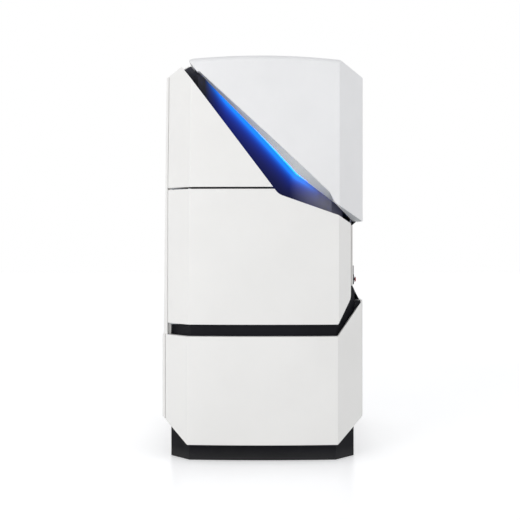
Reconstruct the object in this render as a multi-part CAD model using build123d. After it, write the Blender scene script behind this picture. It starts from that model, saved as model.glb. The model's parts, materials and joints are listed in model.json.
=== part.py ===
from build123d import *
from math import radians, sqrt, tan
import os

os.makedirs("parts", exist_ok=True)

# A multi-beam scanning electron microscope in its closed cabinet, in millimetres.
# The floor is Z = 0, the front faces -Y and +X is on the right of someone who faces it.

# Overall cabinet
HEIGHT = 2400.0             # floor to the crown of the roof
WIDTH = 1216.0              # over the lower cabinet
DEPTH = 1500.0              # crown of the hood to the rear latch handle
REAR_REACH = 24.0           # what the latch handle and ports reach past the rear doors
HOOD_PROUD = 8.0            # how far the hood stands in front of the other covers
HALF = WIDTH / 2
HOOD_Y = -DEPTH / 2         # crown of the hood
FRONT_Y = HOOD_Y + HOOD_PROUD
BACK_Y = DEPTH / 2 - REAR_REACH

# Plan of the cabinet: a bowed front, a 45 degree facet on each side, small rear corners
BOW = 16.0                  # rise of the bowed front
FACET = 158.0               # depth of a facet
REAR_CORNER = 40.0
CORNER_LOW = 446.0          # front corner of the lower cabinet
CORNER_RIGHT = 452.0        # right front corner above the waist
CORNER_LEFT_FOOT = 442.0    # left front corner at the waist, where the left facet starts to lean
CORNER_LEFT_TOP = 420.0
SIDE_LEFT_FOOT = 601.0
SIDE_LEFT_TOP = 581.0

# Front elevation: cut lower corners, sloping shoulders and a crowned roof
CABINET_Z = 98.0            # lowest edge of the covers
LOW_CUT_Z = 240.0           # where the cut lower corner meets the side
WAIST_Z = 739.0             # top of the lower covers
BAND = 70.0                 # height of the dark band over them
SHOULDER_LEFT = (-413.0, HEIGHT - 16.0)
SHOULDER_RIGHT = (452.0, HEIGHT - 22.0)
SHOULDER_SLOPE = 29.0       # degrees
TOP_RADIUS = 34.0           # rounding between front and roof

# Covers are moulded trays: a skin with a return flange all round
SKIN = 5.0
TRAY = 34.0                 # depth of a flange, and of the recesses between the covers
LINER = 6.0                 # thickness of the dark liners behind the recesses
SEAM = 5.0                  # gap between neighbouring covers
FRONT_END_Y = FRONT_Y + BOW + FACET     # where the facets meet the sides
WRAP = 18.0                 # how far the left side panel wraps round the left facet

# The diagonal recess. All points are (x, z) in front elevation
SLIT_Z = 1617.0             # middle of the thin gap over the service door
SLIT = 11.5
RECESS_KNEE = (95.0, 1580.0)
RECESS_RISE = 52.9          # degrees, edge of the upper left cover
RECESS_FALL = 19.2          # degrees, top edge of the service door
KNEE_RADIUS = 80.0
FACET_DROP_X = 544.0        # outer face of the niche wall, where the recess ends
FACET_DROP = 57.0           # drop of the door's top edge across the right facet

# Hood: outline of its face, and of the inner edge of its bevelled return
HOOD_SKIN = 6.0
HOOD_LIP = 45.0             # depth of the return behind the hood's corners
HOOD_END_Y = -300.0         # where the hood meets the roof and side covers
HOOD_FOOT_Z = 1422.0
HOOD_TOP_PEAK = (-386.0, 2303.0)
HOOD_FACE = [(-371.0, 2305.0), (236.0, 1744.0), (396.0, 1595.0), (425.0, 1536.0), (446.0, 1515.0)]
HOOD_INNER = [(-376.0, 2302.0), (190.0, 1685.0), (398.0, 1549.0), (424.0, 1532.0), (446.0, 1514.0)]
HOOD_HEEL_X = 547.0         # where the inner edge reaches the hood's foot, on the right facet

# Channel that carries the light behind the edge of the hood
CHANNEL_DEPTH = 85.0
CHANNEL_UNDER = 57.0        # how far the channel reaches under the hood
BAR_WIDTH = 14.0
BAR_HEIGHT = 14.0
DIFFUSER = 6.0

# Niche in the right side, in front of the load lock
NICHE_X = FACET_DROP_X
NICHE_WALL = 6.0
NICHE_END_Y = 120.0
NICHE_SILL_Z = 1035.0
NICHE_TOP_Z = 1398.0
LOWER_RIGHT_Z = 945.0       # top of the right lower side panel
SILL_REACH = 46.0           # how far the sill slopes out of the wall
DOOR_RIGHT_X = 530.0        # right edge of the service door on the right facet
DOOR_CUT_Z = 960.0          # where its cut lower corner starts

# Frame of square tube
TUBE = 60.0
TUBE_WALL = 4.0
POST_X = 430.0
POST_FRONT_Y = -540.0
POST_REAR_Y = 636.0
RAIL_Z = 60.0               # underside of the base rails
RAIL_HIGH = 80.0
FRAME_TOP_Z = 2220.0
DECK_Z = 620.0              # top of the deck rails
DECK_FRONT_Y = -350.0
DECK_REAR_Y = 200.0
BASE_TRAY = 6.0

# Plinth and feet
PLINTH_HALF = 554.0
PLINTH_CORNER = 436.0
PLINTH_INSET = 38.0         # behind the lower front cover
PLINTH_REAR_INSET = 46.0
PLINTH_WALL = 8.0
PLINTH_LIFT = 2.0
PLINTH_TOP_Z = 205.0
PLINTH_GAP = 4.0            # between plinth and covers
PLINTH_REAR_TOP_Z = 130.0   # lower at the rear, where the services pass over it
FOOT_RADIUS = 34.0
FOOT_PAD = 14.0
FOOT_STUD = 12.0
FOOT_NUT = 20.0
FOOT_NUT_HIGH = 12.0

# Fits
RUN = 0.05                  # radial clearance of a running fit
LOOSE = 0.3                 # clearance of a moving piece from its seat
PIN = 4.0                   # radius of the hinge pins


def elevation_face(points, radii=None):
    """A face drawn in front elevation, with the corners in radii rounded."""
    face = Plane.XZ * make_face(Polyline(*points, close=True).edges())
    for (x, z), radius in (radii or {}).items():
        corner = [v for v in face.vertices() if abs(v.X - x) < 0.01 and abs(v.Z - z) < 0.01]
        face = fillet(corner, radius)
    return face


def elevation_prism(points, y0, y1, radii=None, grow=0.0):
    """The solid behind a front elevation outline, from y0 to y1."""
    face = elevation_face(points, radii)
    if grow:
        face = offset(face, grow, kind=Kind.INTERSECTION)
    return extrude(Pos(0, y0, 0) * face, y1 - y0, dir=(0, 1, 0))


def block(x0, x1, y0, y1, z0, z1):
    """A box given by its limits."""
    return Pos((x0 + x1) / 2, (y0 + y1) / 2, (z0 + z1) / 2) * Box(x1 - x0, y1 - y0, z1 - z0)


def rod(radius, start, end):
    """A round bar between two points."""
    a, b = Vector(*start), Vector(*end)
    plane = Plane(origin=a, z_dir=(b - a).normalized())
    return extrude(plane * Circle(radius), (b - a).length)


def turned(profile, x, y):
    """A turned piece from its (radius, z) profile, on a vertical axis at x, y."""
    face = Plane.XZ * make_face(Polyline(*profile, close=True).edges())
    return Pos(x, y, 0) * revolve(face, Axis.Z)


def save(name, shape):
    """Write one node, as one solid or a group of separate solids."""
    solids = shape.solids() if not isinstance(shape, list) else [s for p in shape for s in p.solids()]
    export_step(solids[0] if len(solids) == 1 else Compound(solids), f"parts/{name}.step")


def plan_face(side_left, corner_left, corner_right, z, proud, inset):
    """Plan outline of the cabinet at one height, moved out by proud in front and in by inset."""
    turn = sqrt(2) - 1
    y_corner = FRONT_Y + BOW - proud
    left, right = -corner_left - proud * turn, corner_right + proud * turn
    y_side = FRONT_END_Y - proud * sqrt(2)
    front = ThreePointArc((left, y_corner), ((left + right) / 2, FRONT_Y - proud), (right, y_corner))
    rest = Polyline(
        (right, y_corner), (HALF, y_side), (HALF, BACK_Y - REAR_CORNER),
        (HALF - REAR_CORNER, BACK_Y), (REAR_CORNER - side_left, BACK_Y),
        (-side_left, BACK_Y - REAR_CORNER), (-side_left, y_side), (left, y_corner),
    )
    face = make_face(front.edges() + rest.edges())
    if inset:
        face = offset(face, -inset, kind=Kind.INTERSECTION)
    return Pos(0, 0, z) * face


def elevation_limit(inset):
    """The octagonal front elevation with its crowned roof, run through the whole depth."""
    slope = tan(radians(SHOULDER_SLOPE))
    left_z = SHOULDER_LEFT[1] - (HALF + SHOULDER_LEFT[0]) * slope
    right_z = SHOULDER_RIGHT[1] - (HALF - SHOULDER_RIGHT[0]) * slope
    middle = ((SHOULDER_LEFT[0] + SHOULDER_RIGHT[0]) / 2, HEIGHT)
    roof = ThreePointArc(SHOULDER_LEFT, middle, SHOULDER_RIGHT)
    rest = Polyline(
        SHOULDER_RIGHT, (HALF, right_z), (HALF, LOW_CUT_Z), (CORNER_LOW, CABINET_Z),
        (-CORNER_LOW, CABINET_Z), (-HALF, LOW_CUT_Z), (-HALF, left_z), SHOULDER_LEFT,
    )
    face = make_face(roof.edges() + rest.edges())
    if inset:
        face = offset(face, -inset, kind=Kind.INTERSECTION)
    return extrude(Plane.XZ * face, DEPTH, both=True)


ENVELOPES = {}


def envelope(inset, proud=0.0, low_only=False):
    """Everything inside the cabinet's outer surface, moved in by inset."""
    key = (inset, proud, low_only)
    if key in ENVELOPES:
        return ENVELOPES[key]
    low = plan_face(HALF, CORNER_LOW, CORNER_LOW, 0, proud, inset)
    if low_only:
        ENVELOPES[key] = extrude(low, HEIGHT / 2, dir=(0, 0, 1)) & elevation_limit(inset)
        return ENVELOPES[key]
    foot = plan_face(SIDE_LEFT_FOOT, CORNER_LEFT_FOOT, CORNER_RIGHT, WAIST_Z, proud, inset)
    top = plan_face(SIDE_LEFT_TOP, CORNER_LEFT_TOP, CORNER_RIGHT, HEIGHT, proud, inset)
    body = extrude(low, WAIST_Z, dir=(0, 0, 1)) + loft([foot, top], ruled=True)
    body = body & elevation_limit(inset)
    radius = TOP_RADIUS - inset
    if radius > 1:
        y_edge = FRONT_Y - proud + inset + BOW + 1
        edges = [e for e in body.edges() if e.center().Y < y_edge and e.center().Z > HEIGHT - inset - 40]
        edges = [e for e in edges if abs(e.tangent_at(0.5).X) > 0.9]
        body = fillet(edges, radius)
    ENVELOPES[key] = body
    return body


def cover(region, pocket, depth=TRAY, skin=SKIN, proud=0.0, low_only=False):
    """A tray shaped cover: the skin and return flanges inside a region of the envelope."""
    slab = (envelope(0.0, proud, low_only) - envelope(depth, proud, low_only)) & region
    return slab - (envelope(skin, proud, low_only) & pocket)


def front_cover(points, radii=None, depth=TRAY, low_only=False):
    """A cover of the front and its facets, from its outline in front elevation."""
    region = elevation_prism(points, HOOD_Y - 10, FRONT_SEAM_Y, radii)
    pocket = elevation_prism(points, HOOD_Y - 10, FRONT_SEAM_Y - SKIN, radii, grow=-SKIN)
    return cover(region, pocket, depth, low_only=low_only)


def liner(region, depth=TRAY, thickness=LINER):
    """A thin sheet that follows the cabinet behind a gap between covers."""
    return (envelope(depth) - envelope(depth + thickness)) & region


# Outlines and seams that several pieces share
OVER = HEIGHT + 40.0                        # above everything
FAR = HALF + 30.0                           # beyond everything
FRONT_SEAM_Y = FRONT_END_Y - SEAM / 2
REAR_COVER_Y = BACK_Y - TRAY
LOW_EDGE_X = WRAP - HALF + SEAM / 2         # left edge of the lower front cover
EDGE_X = LOW_EDGE_X + 15.0                  # left edge of the service door
TOP_EDGE_X = EDGE_X + 10.0                  # the same at the top of the cabinet, where the side leans
ROOF_LEFT_X = SHOULDER_LEFT[0] - 28.5       # seam between roof and left side panel
ROOF_RIGHT_X = SHOULDER_RIGHT[0] + SEAM / 2
REAR_WRAP_X = HALF - REAR_CORNER - 5.5      # seam between the side panels and the rear
DOOR_FOOT_Z = WAIST_Z + BAND
SLIT_LOW_Z = SLIT_Z - SLIT / 2
SLIT_HIGH_Z = SLIT_Z + SLIT / 2
HINGE_ZONE = 26.0                           # depth of the door's flange at its hinges
HINGE_ZONE_WIDTH = 48.0
HINGE_IN = 25.0                             # hinge axis from the door's left edge
HINGE_SWEEP = 32.0                          # what swings inwards stays this near the axis
HINGE_DEPTH = 8.0                           # and from its skin, at the top hinge


def rise_x(z):
    """Where the edge of the upper left cover is at height z."""
    return RECESS_KNEE[0] - (z - RECESS_KNEE[1]) / tan(radians(RECESS_RISE))


def fall_z(x):
    """How high the top edge of the service door is at x, down across the right facet."""
    front_x = min(x, CORNER_RIGHT)
    z = RECESS_KNEE[1] - (front_x - RECESS_KNEE[0]) * tan(radians(RECESS_FALL))
    return z - FACET_DROP * (x - front_x) / (FACET_DROP_X - CORNER_RIGHT)


def left_skin_y(x, z):
    """Y of the left facet's skin at x and z, above the waist."""
    share = (z - WAIST_Z) / (HEIGHT - WAIST_Z)
    corner = CORNER_LEFT_FOOT + share * (CORNER_LEFT_TOP - CORNER_LEFT_FOOT)
    side = SIDE_LEFT_FOOT + share * (SIDE_LEFT_TOP - SIDE_LEFT_FOOT)
    return FRONT_Y + BOW + (-x - corner) * FACET / (side - corner)


HINGE_X = EDGE_X + HINGE_IN
HINGE_Y = left_skin_y(HINGE_X, SLIT_Z) + HINGE_DEPTH * sqrt(2)
RISE_TOP = (rise_x(OVER), OVER)
FALL_END = (DOOR_RIGHT_X, fall_z(DOOR_RIGHT_X))
FALL_CORNER = (CORNER_RIGHT, fall_z(CORNER_RIGHT))
KNEES = {RECESS_KNEE: KNEE_RADIUS}


def plinth_plan(grow):
    """Plan outline of the plinth, grown by grow."""
    y_front = FRONT_Y + PLINTH_INSET
    y_corner = y_front + BOW
    front = ThreePointArc((-PLINTH_CORNER, y_corner), (0, y_front), (PLINTH_CORNER, y_corner))
    y_side = y_corner + PLINTH_HALF - PLINTH_CORNER
    y_back = BACK_Y - PLINTH_REAR_INSET
    rest = Polyline(
        (PLINTH_CORNER, y_corner), (PLINTH_HALF, y_side), (PLINTH_HALF, y_back),
        (-PLINTH_HALF, y_back), (-PLINTH_HALF, y_side), (-PLINTH_CORNER, y_corner),
    )
    face = make_face(front.edges() + rest.edges())
    return offset(face, grow, kind=Kind.INTERSECTION) if grow else face


def plinth_block(grow, z0=0.0, z1=PLINTH_TOP_Z):
    """The plinth's outer form as a solid."""
    return extrude(Pos(0, 0, z0) * plinth_plan(grow), z1 - z0, dir=(0, 0, 1))


PLINTH_ROOM = plinth_block(PLINTH_GAP, 0.0, PLINTH_TOP_Z + PLINTH_GAP)


def make_plinth():
    """Skirt of bent sheet, open above and below."""
    skirt = plinth_block(0.0, PLINTH_LIFT) - plinth_block(-PLINTH_WALL, PLINTH_LIFT)
    skirt -= block(-PLINTH_CORNER, PLINTH_CORNER, 0, DEPTH, PLINTH_REAR_TOP_Z, HEIGHT)
    save("plinth_skirt", skirt)


def make_front_covers():
    """Lower cover, upper left cover and the service door between them."""
    rise = (LOWER_RIGHT_Z - WAIST_Z) / (HALF - CORNER_LOW)
    lower = [
        (LOW_EDGE_X, 0), (FAR, 0), (FAR, LOWER_RIGHT_Z + rise * (FAR - HALF)),
        (CORNER_LOW, WAIST_Z), (LOW_EDGE_X, WAIST_Z),
    ]
    cover_low = front_cover(lower, low_only=True) - PLINTH_ROOM
    save("lower_front_cover", cover_low - (envelope(TRAY) & block(-FAR, FAR, HOOD_Y, 0, WAIST_Z - 30, OVER)))
    upper = [(EDGE_X, SLIT_HIGH_Z), (rise_x(SLIT_HIGH_Z), SLIT_HIGH_Z), RISE_TOP, (TOP_EDGE_X, OVER)]
    save("upper_left_cover", front_cover(upper))


def make_service_door():
    """The middle cover, with its knee, its cut lower corner and a thin edge at the hinges."""
    outline = [
        (EDGE_X, DOOR_FOOT_Z), (CORNER_RIGHT - 4, DOOR_FOOT_Z), (DOOR_RIGHT_X, DOOR_CUT_Z), FALL_END,
        FALL_CORNER, RECESS_KNEE, (rise_x(SLIT_LOW_Z), SLIT_LOW_Z), (EDGE_X, SLIT_LOW_Z),
    ]
    radii = {RECESS_KNEE: KNEE_RADIUS, (DOOR_RIGHT_X, DOOR_CUT_Z): KNEE_RADIUS}
    door = front_cover(outline, radii, depth=TRAY - LOOSE)
    hinge_zone = block(-FAR, EDGE_X + HINGE_ZONE_WIDTH, HOOD_Y, 0, DOOR_FOOT_Z - 1, SLIT_Z)
    door -= envelope(HINGE_ZONE) & hinge_zone
    sweep = rod(HINGE_SWEEP, (HINGE_X, HINGE_Y, DOOR_FOOT_Z - 1), (HINGE_X, HINGE_Y, SLIT_Z))
    door -= block(-FAR, HINGE_X, HINGE_Y, 0, DOOR_FOOT_Z - 1, SLIT_Z) - sweep
    door -= rod(PIN + RUN, (HINGE_X, HINGE_Y, DOOR_FOOT_Z - 1), (HINGE_X, HINGE_Y, SLIT_Z))
    save("service_door", door)


def hood_prism(inset, y_end):
    """The volume the hood is cut from: its face outline, then the return that flares outwards."""
    x_top = HOOD_TOP_PEAK[0] - (OVER + 60 - HOOD_TOP_PEAK[1]) / tan(radians(RECESS_RISE))
    ends = [(HOOD_HEEL_X, HOOD_FOOT_Z), (FAR + 60, HOOD_FOOT_Z), (FAR + 60, OVER + 60), (x_top, OVER + 60)]
    face = elevation_face([HOOD_TOP_PEAK, *HOOD_FACE, *ends])
    inner = elevation_face([HOOD_TOP_PEAK, *HOOD_INNER, *ends])
    if inset:
        face = offset(face, -inset, kind=Kind.INTERSECTION)
        inner = offset(inner, -inset, kind=Kind.INTERSECTION)
    y_face = HOOD_Y + BOW
    y_inner = y_face + HOOD_LIP
    front = extrude(Pos(0, HOOD_Y - 10, 0) * face, BOW + 10, dir=(0, 1, 0))
    flare = loft([Pos(0, y_face, 0) * face, Pos(0, y_inner, 0) * inner], ruled=True)
    return front + flare + extrude(Pos(0, y_inner, 0) * inner, y_end - y_inner, dir=(0, 1, 0))


def facet_bevel(lift):
    """What the slanting bevel takes off the hood's foot on the right facet."""
    x_edge, z_edge = HOOD_FACE[-1]
    corner = Vector(x_edge, HOOD_Y + BOW, z_edge + lift)
    outer = Vector(HALF, FRONT_END_Y - HOOD_PROUD * sqrt(2), HOOD_FOOT_Z + lift) - corner
    heel_y = FRONT_END_Y - HALF + HOOD_HEEL_X + (HOOD_LIP - HOOD_PROUD) * sqrt(2)
    heel = Vector(HOOD_HEEL_X, heel_y, HOOD_FOOT_Z + lift) - corner
    shares = [(-0.05, -0.4), (1.4, -0.4), (1.4, 1.4), (-0.05, 1.4)]
    plane_face = make_face(Polyline(*[corner + outer * u + heel * v for u, v in shares], close=True).edges())
    return extrude(plane_face, 300, dir=(0, 0, -1))


def make_hood():
    """The big upper right shell with its bevelled return."""
    slab = envelope(0.0, HOOD_PROUD) - envelope(HOOD_LIP, HOOD_PROUD)
    pocket = envelope(HOOD_SKIN, HOOD_PROUD) & hood_prism(HOOD_SKIN, HOOD_END_Y - HOOD_SKIN)
    pocket -= facet_bevel(HOOD_SKIN * 1.5)
    save("hood", (slab & hood_prism(0.0, HOOD_END_Y)) - pocket - facet_bevel(0.0))


def make_side_panels():
    """Left panel with its wrap on the facet, and the two right panels round the niche."""
    side_seam = FRONT_END_Y + SEAM / 2
    rear_seam = REAR_COVER_Y - SEAM

    def left_region(inset):
        wrap = [
            (-FAR, 0), (LOW_EDGE_X - SEAM - inset, 0), (LOW_EDGE_X - SEAM - inset, WAIST_Z),
            (EDGE_X - SEAM - inset, WAIST_Z), (EDGE_X - SEAM - inset, SLIT_Z),
            (TOP_EDGE_X - SEAM - inset, OVER), (-FAR, OVER),
        ]
        region = elevation_prism(wrap, HOOD_Y, rear_seam)
        region += block(-FAR, ROOF_LEFT_X - SEAM - inset, side_seam + inset, rear_seam - inset, 0, OVER)
        return region + block(-FAR, -REAR_WRAP_X - inset, side_seam + inset, DEPTH, 0, OVER)

    save("left_side_panel", cover(left_region(0), left_region(SKIN)) - PLINTH_ROOM)

    def lower_region(inset):
        top = LOWER_RIGHT_Z - inset
        region = block(CORNER_LOW, FAR, side_seam + inset, rear_seam - inset, 0, top)
        return region + block(REAR_WRAP_X + inset, FAR, side_seam + inset, DEPTH, 0, top)

    lower = cover(lower_region(0), lower_region(SKIN), low_only=True) - PLINTH_ROOM
    save("right_lower_side_panel", lower)

    def upper_region(inset):
        y_low, y_high = NICHE_END_Y + SEAM + inset, HOOD_END_Y + SEAM + inset
        z_low, z_high = LOWER_RIGHT_Z + SEAM + inset, HOOD_FOOT_Z + SEAM + inset
        x_roof = ROOF_RIGHT_X + SEAM / 2 + inset
        region = block(x_roof, FAR, y_low, rear_seam - inset, z_low, OVER)
        region += block(x_roof, FAR, y_high, rear_seam - inset, z_high, OVER)
        return region + block(REAR_WRAP_X + inset, FAR, y_low, DEPTH, z_low, OVER)

    save("right_upper_side_panel", cover(upper_region(0), upper_region(SKIN)))


VENT_X, VENT_Y = 260.0, 430.0       # half width and centre of the roof vent
VENT_HALF_Y = 130.0
VENT_LIP = 12.0
VENT_SLOTS = 9
VENT_SLOT = 12.0
GRILLE = 6.0


def make_roof():
    """Crowned roof cover and the slotted grille that drops into it."""
    x0, x1 = ROOF_LEFT_X, ROOF_RIGHT_X - SEAM / 2
    y0, y1 = HOOD_END_Y + SEAM, REAR_COVER_Y - SEAM
    region = block(x0, x1, y0, y1, FRAME_TOP_Z, OVER)
    pocket = block(x0 + SKIN, x1 - SKIN, y0 + SKIN, y1 - SKIN, FRAME_TOP_Z, OVER)
    hole = block(-VENT_X, VENT_X, VENT_Y - VENT_HALF_Y, VENT_Y + VENT_HALF_Y, FRAME_TOP_Z, OVER)
    save("roof_cover", cover(region, pocket) - hole)
    inner = block(
        LOOSE - VENT_X, VENT_X - LOOSE, VENT_Y - VENT_HALF_Y + LOOSE, VENT_Y + VENT_HALF_Y - LOOSE,
        FRAME_TOP_Z, OVER,
    )
    grille = (envelope(0.0) - envelope(SKIN)) & inner
    lip = block(
        -VENT_X - VENT_LIP, VENT_X + VENT_LIP, VENT_Y - VENT_HALF_Y - VENT_LIP,
        VENT_Y + VENT_HALF_Y + VENT_LIP, FRAME_TOP_Z, OVER,
    )
    grille += (envelope(SKIN) - envelope(SKIN + GRILLE)) & lip
    pitch = 2 * VENT_HALF_Y / VENT_SLOTS
    for i in range(VENT_SLOTS):
        y = VENT_Y - VENT_HALF_Y + (i + 0.5) * pitch
        for side in (-1, 1):
            x_mid = side * VENT_X / 2
            reach = VENT_X / 2 - VENT_LIP * 1.2
            grille -= block(x_mid - reach, x_mid + reach, y - VENT_SLOT / 2, y + VENT_SLOT / 2, FRAME_TOP_Z, OVER)
    save("roof_vent_grille", grille)


REAR_SILL_Z = 257.0                 # seam under the rear doors
REAR_HEAD_Z = 2147.0                # seam over them
REAR_EDGE_X = REAR_WRAP_X - SEAM
REAR_HINGE_IN = 16.0
REAR_HINGE_X = REAR_EDGE_X - REAR_HINGE_IN
REAR_HINGE_Y = BACK_Y - 8.0
LOUVRES = 8
LOUVRE_PITCH = 34.0
LOUVRE_HIGH = 9.0
LOUVRE_WIDE = 300.0
LOUVRE_Z = (420.0, 1760.0)
LATCH_X, LATCH_Z = 48.0, 1180.0
LATCH_BORE = 9.0
PORT_Z = 190.0
GLAND_X, EXHAUST_X, INLET_X = -345.0, 345.0, -120.0
GLAND_BORE = 21.0
EXHAUST_BORE = 26.0


def rear_cover(x0, x1, z0, z1):
    """A flat tray on the rear of the cabinet."""
    region = block(x0, x1, REAR_COVER_Y, DEPTH, z0, z1)
    pocket = block(x0 + SKIN, x1 - SKIN, 0, DEPTH, z0 + SKIN, z1 - SKIN)
    return cover(region, pocket)


def make_rear():
    """Two louvred doors between a sill panel and a head panel."""
    for name, side in (("rear_door_left", -1), ("rear_door_right", 1)):
        edges = sorted((side * SEAM / 2, side * REAR_EDGE_X))
        door = rear_cover(edges[0], edges[1], REAR_SILL_Z + SEAM / 2, REAR_HEAD_Z - SEAM / 2)
        middle = sum(edges) / 2
        for bank in LOUVRE_Z:
            for i in range(LOUVRES):
                z = bank + i * LOUVRE_PITCH
                slot = block(-LOUVRE_WIDE / 2, LOUVRE_WIDE / 2, -40, 40, -LOUVRE_HIGH / 2, LOUVRE_HIGH / 2)
                door -= Pos(middle, BACK_Y, z) * Rot(-30, 0, 0) * slot
        hinge = side * REAR_HINGE_X
        door -= rod(PIN + RUN, (hinge, REAR_HINGE_Y, 0), (hinge, REAR_HINGE_Y, HEIGHT))
        if side > 0:
            door -= rod(LATCH_BORE + RUN, (LATCH_X, REAR_COVER_Y, LATCH_Z), (LATCH_X, DEPTH, LATCH_Z))
        save(name, door)
    sill = rear_cover(-REAR_EDGE_X, REAR_EDGE_X, 0, REAR_SILL_Z - SEAM / 2)
    for x, bore in ((GLAND_X, GLAND_BORE), (EXHAUST_X, EXHAUST_BORE)):
        sill -= rod(bore, (x, 0, PORT_Z), (x, DEPTH, PORT_Z))
    sill -= block(INLET_X - 30, INLET_X + 30, 0, DEPTH, PORT_Z - 24, PORT_Z + 24)
    head = rear_cover(-REAR_EDGE_X, REAR_EDGE_X, REAR_HEAD_Z + SEAM / 2, OVER)
    save("rear_fixed_panels", [sill, head])


def make_rear_fittings():
    """Latch handle, cable gland, exhaust port and power inlet."""
    y_tip = DEPTH / 2
    handle = rod(LATCH_BORE, (LATCH_X, REAR_COVER_Y + 10, LATCH_Z), (LATCH_X, y_tip - 12, LATCH_Z))
    handle += rod(17, (LATCH_X, BACK_Y + LOOSE, LATCH_Z), (LATCH_X, y_tip - 10, LATCH_Z))
    grip = block(LATCH_X - 11, LATCH_X + 11, y_tip - 14, y_tip, LATCH_Z - 120, LATCH_Z + 16)
    grip = fillet(grip.edges().filter_by(Axis.Y), 10)
    handle += chamfer(grip.faces().sort_by(Axis.Y)[-1].edges(), 2)
    cam = block(LATCH_X - 8, LATCH_X + 8, REAR_COVER_Y + 8, REAR_COVER_Y + 14, LATCH_Z - 12, LATCH_Z + 30)
    save("rear_latch_handle", handle + cam)

    def port(x, bore, wall, y0, y1):
        ring = rod(bore, (x, y0, PORT_Z), (x, y1, PORT_Z)) - rod(bore - wall, (x, y0, PORT_Z), (x, y1, PORT_Z))
        flange = rod(bore + 9, (x, BACK_Y, PORT_Z), (x, BACK_Y + 8, PORT_Z))
        return ring + (flange - rod(bore - wall, (x, 0, PORT_Z), (x, DEPTH, PORT_Z)))

    save("cable_gland", port(GLAND_X, GLAND_BORE - RUN, 5.0, BACK_Y - 20, DEPTH / 2 - 2))
    save("exhaust_port", port(EXHAUST_X, EXHAUST_BORE - RUN, 3.0, BACK_Y - 46, DEPTH / 2))
    inlet = block(INLET_X - 29.9, INLET_X + 29.9, BACK_Y - 40, BACK_Y + 3, PORT_Z - 23.9, PORT_Z + 23.9)
    inlet += block(INLET_X - 37, INLET_X + 37, BACK_Y, BACK_Y + 5, PORT_Z - 31, PORT_Z + 31)
    inlet -= block(INLET_X - 20, INLET_X + 20, BACK_Y - 24, DEPTH, PORT_Z - 14, PORT_Z + 14)
    for x in (-9, 0, 9):
        inlet += block(INLET_X + x - 1.5, INLET_X + x + 1.5, BACK_Y - 25, BACK_Y - 6, PORT_Z - 4, PORT_Z + 4)
    save("power_inlet", inlet)


def slope_plate(low, high, thickness, up):
    """Outline of a sheet between two points, thickened away from the niche."""
    (xa, za), (xb, zb) = low, high
    return [(xa, za), (xb, zb), (xb - thickness, zb + up), (xa - thickness, za + up)]


def make_niche():
    """White wall with its rear cheek, dark sill below and dark ceiling above."""
    wall = block(NICHE_X - NICHE_WALL, NICHE_X, HOOD_Y, NICHE_END_Y, NICHE_SILL_Z, NICHE_TOP_Z)
    foot = (NICHE_X + SILL_REACH, LOWER_RIGHT_Z)
    crest_x = NICHE_X + 28.0
    cheek = [
        (NICHE_X - NICHE_WALL, NICHE_SILL_Z), (NICHE_X, NICHE_SILL_Z), foot, (HALF - SKIN - 1, LOWER_RIGHT_Z),
        (HALF - SKIN - 1, HOOD_FOOT_Z + SEAM), (crest_x, HOOD_FOOT_Z), (NICHE_X, NICHE_TOP_Z),
        (NICHE_X - NICHE_WALL, NICHE_TOP_Z),
    ]
    wall += elevation_prism(cheek, NICHE_END_Y - NICHE_WALL, NICHE_END_Y)
    wall = wall & envelope(HOOD_PROUD)
    mouth = block(0, DEPTH, LOCK_Y - MOUTH_Y - 1, LOCK_Y + MOUTH_Y + 1, LOCK_Z - MOUTH_Z - 1, LOCK_Z + MOUTH_Z + 1)
    save("niche_wall", wall - mouth)
    y_end = NICHE_END_Y - NICHE_WALL - LOOSE
    sill = slope_plate((NICHE_X, NICHE_SILL_Z), foot, 7.0, 0)
    sill = elevation_prism(sill, HOOD_Y, y_end) & envelope(TRAY + LINER)
    ceiling = slope_plate((NICHE_X, NICHE_TOP_Z), (crest_x, HOOD_FOOT_Z), 7.0, 0)
    ceiling = elevation_prism(ceiling, HOOD_Y, y_end) & envelope(TRAY + LINER)
    save("niche_slopes", [sill, ceiling])


def hinge_arm(z, thickness):
    """The bracket that carries a hinge pin of the service door, from the post to the pin."""
    post_face = TUBE / 2 - POST_X - TUBE
    arm = block(HINGE_X - 9, post_face, HINGE_Y - 9, HINGE_Y + 9, z, z + thickness)
    arm += block(post_face - 40, post_face, HINGE_Y - 9, POST_FRONT_Y, z, z + thickness)
    return arm & envelope(HINGE_DEPTH / 2)


ARM = 5.0
ARM_LOW_Z = DOOR_FOOT_Z - ARM - 2.0
ARM_HIGH_Z = SLIT_Z - ARM / 2


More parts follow.
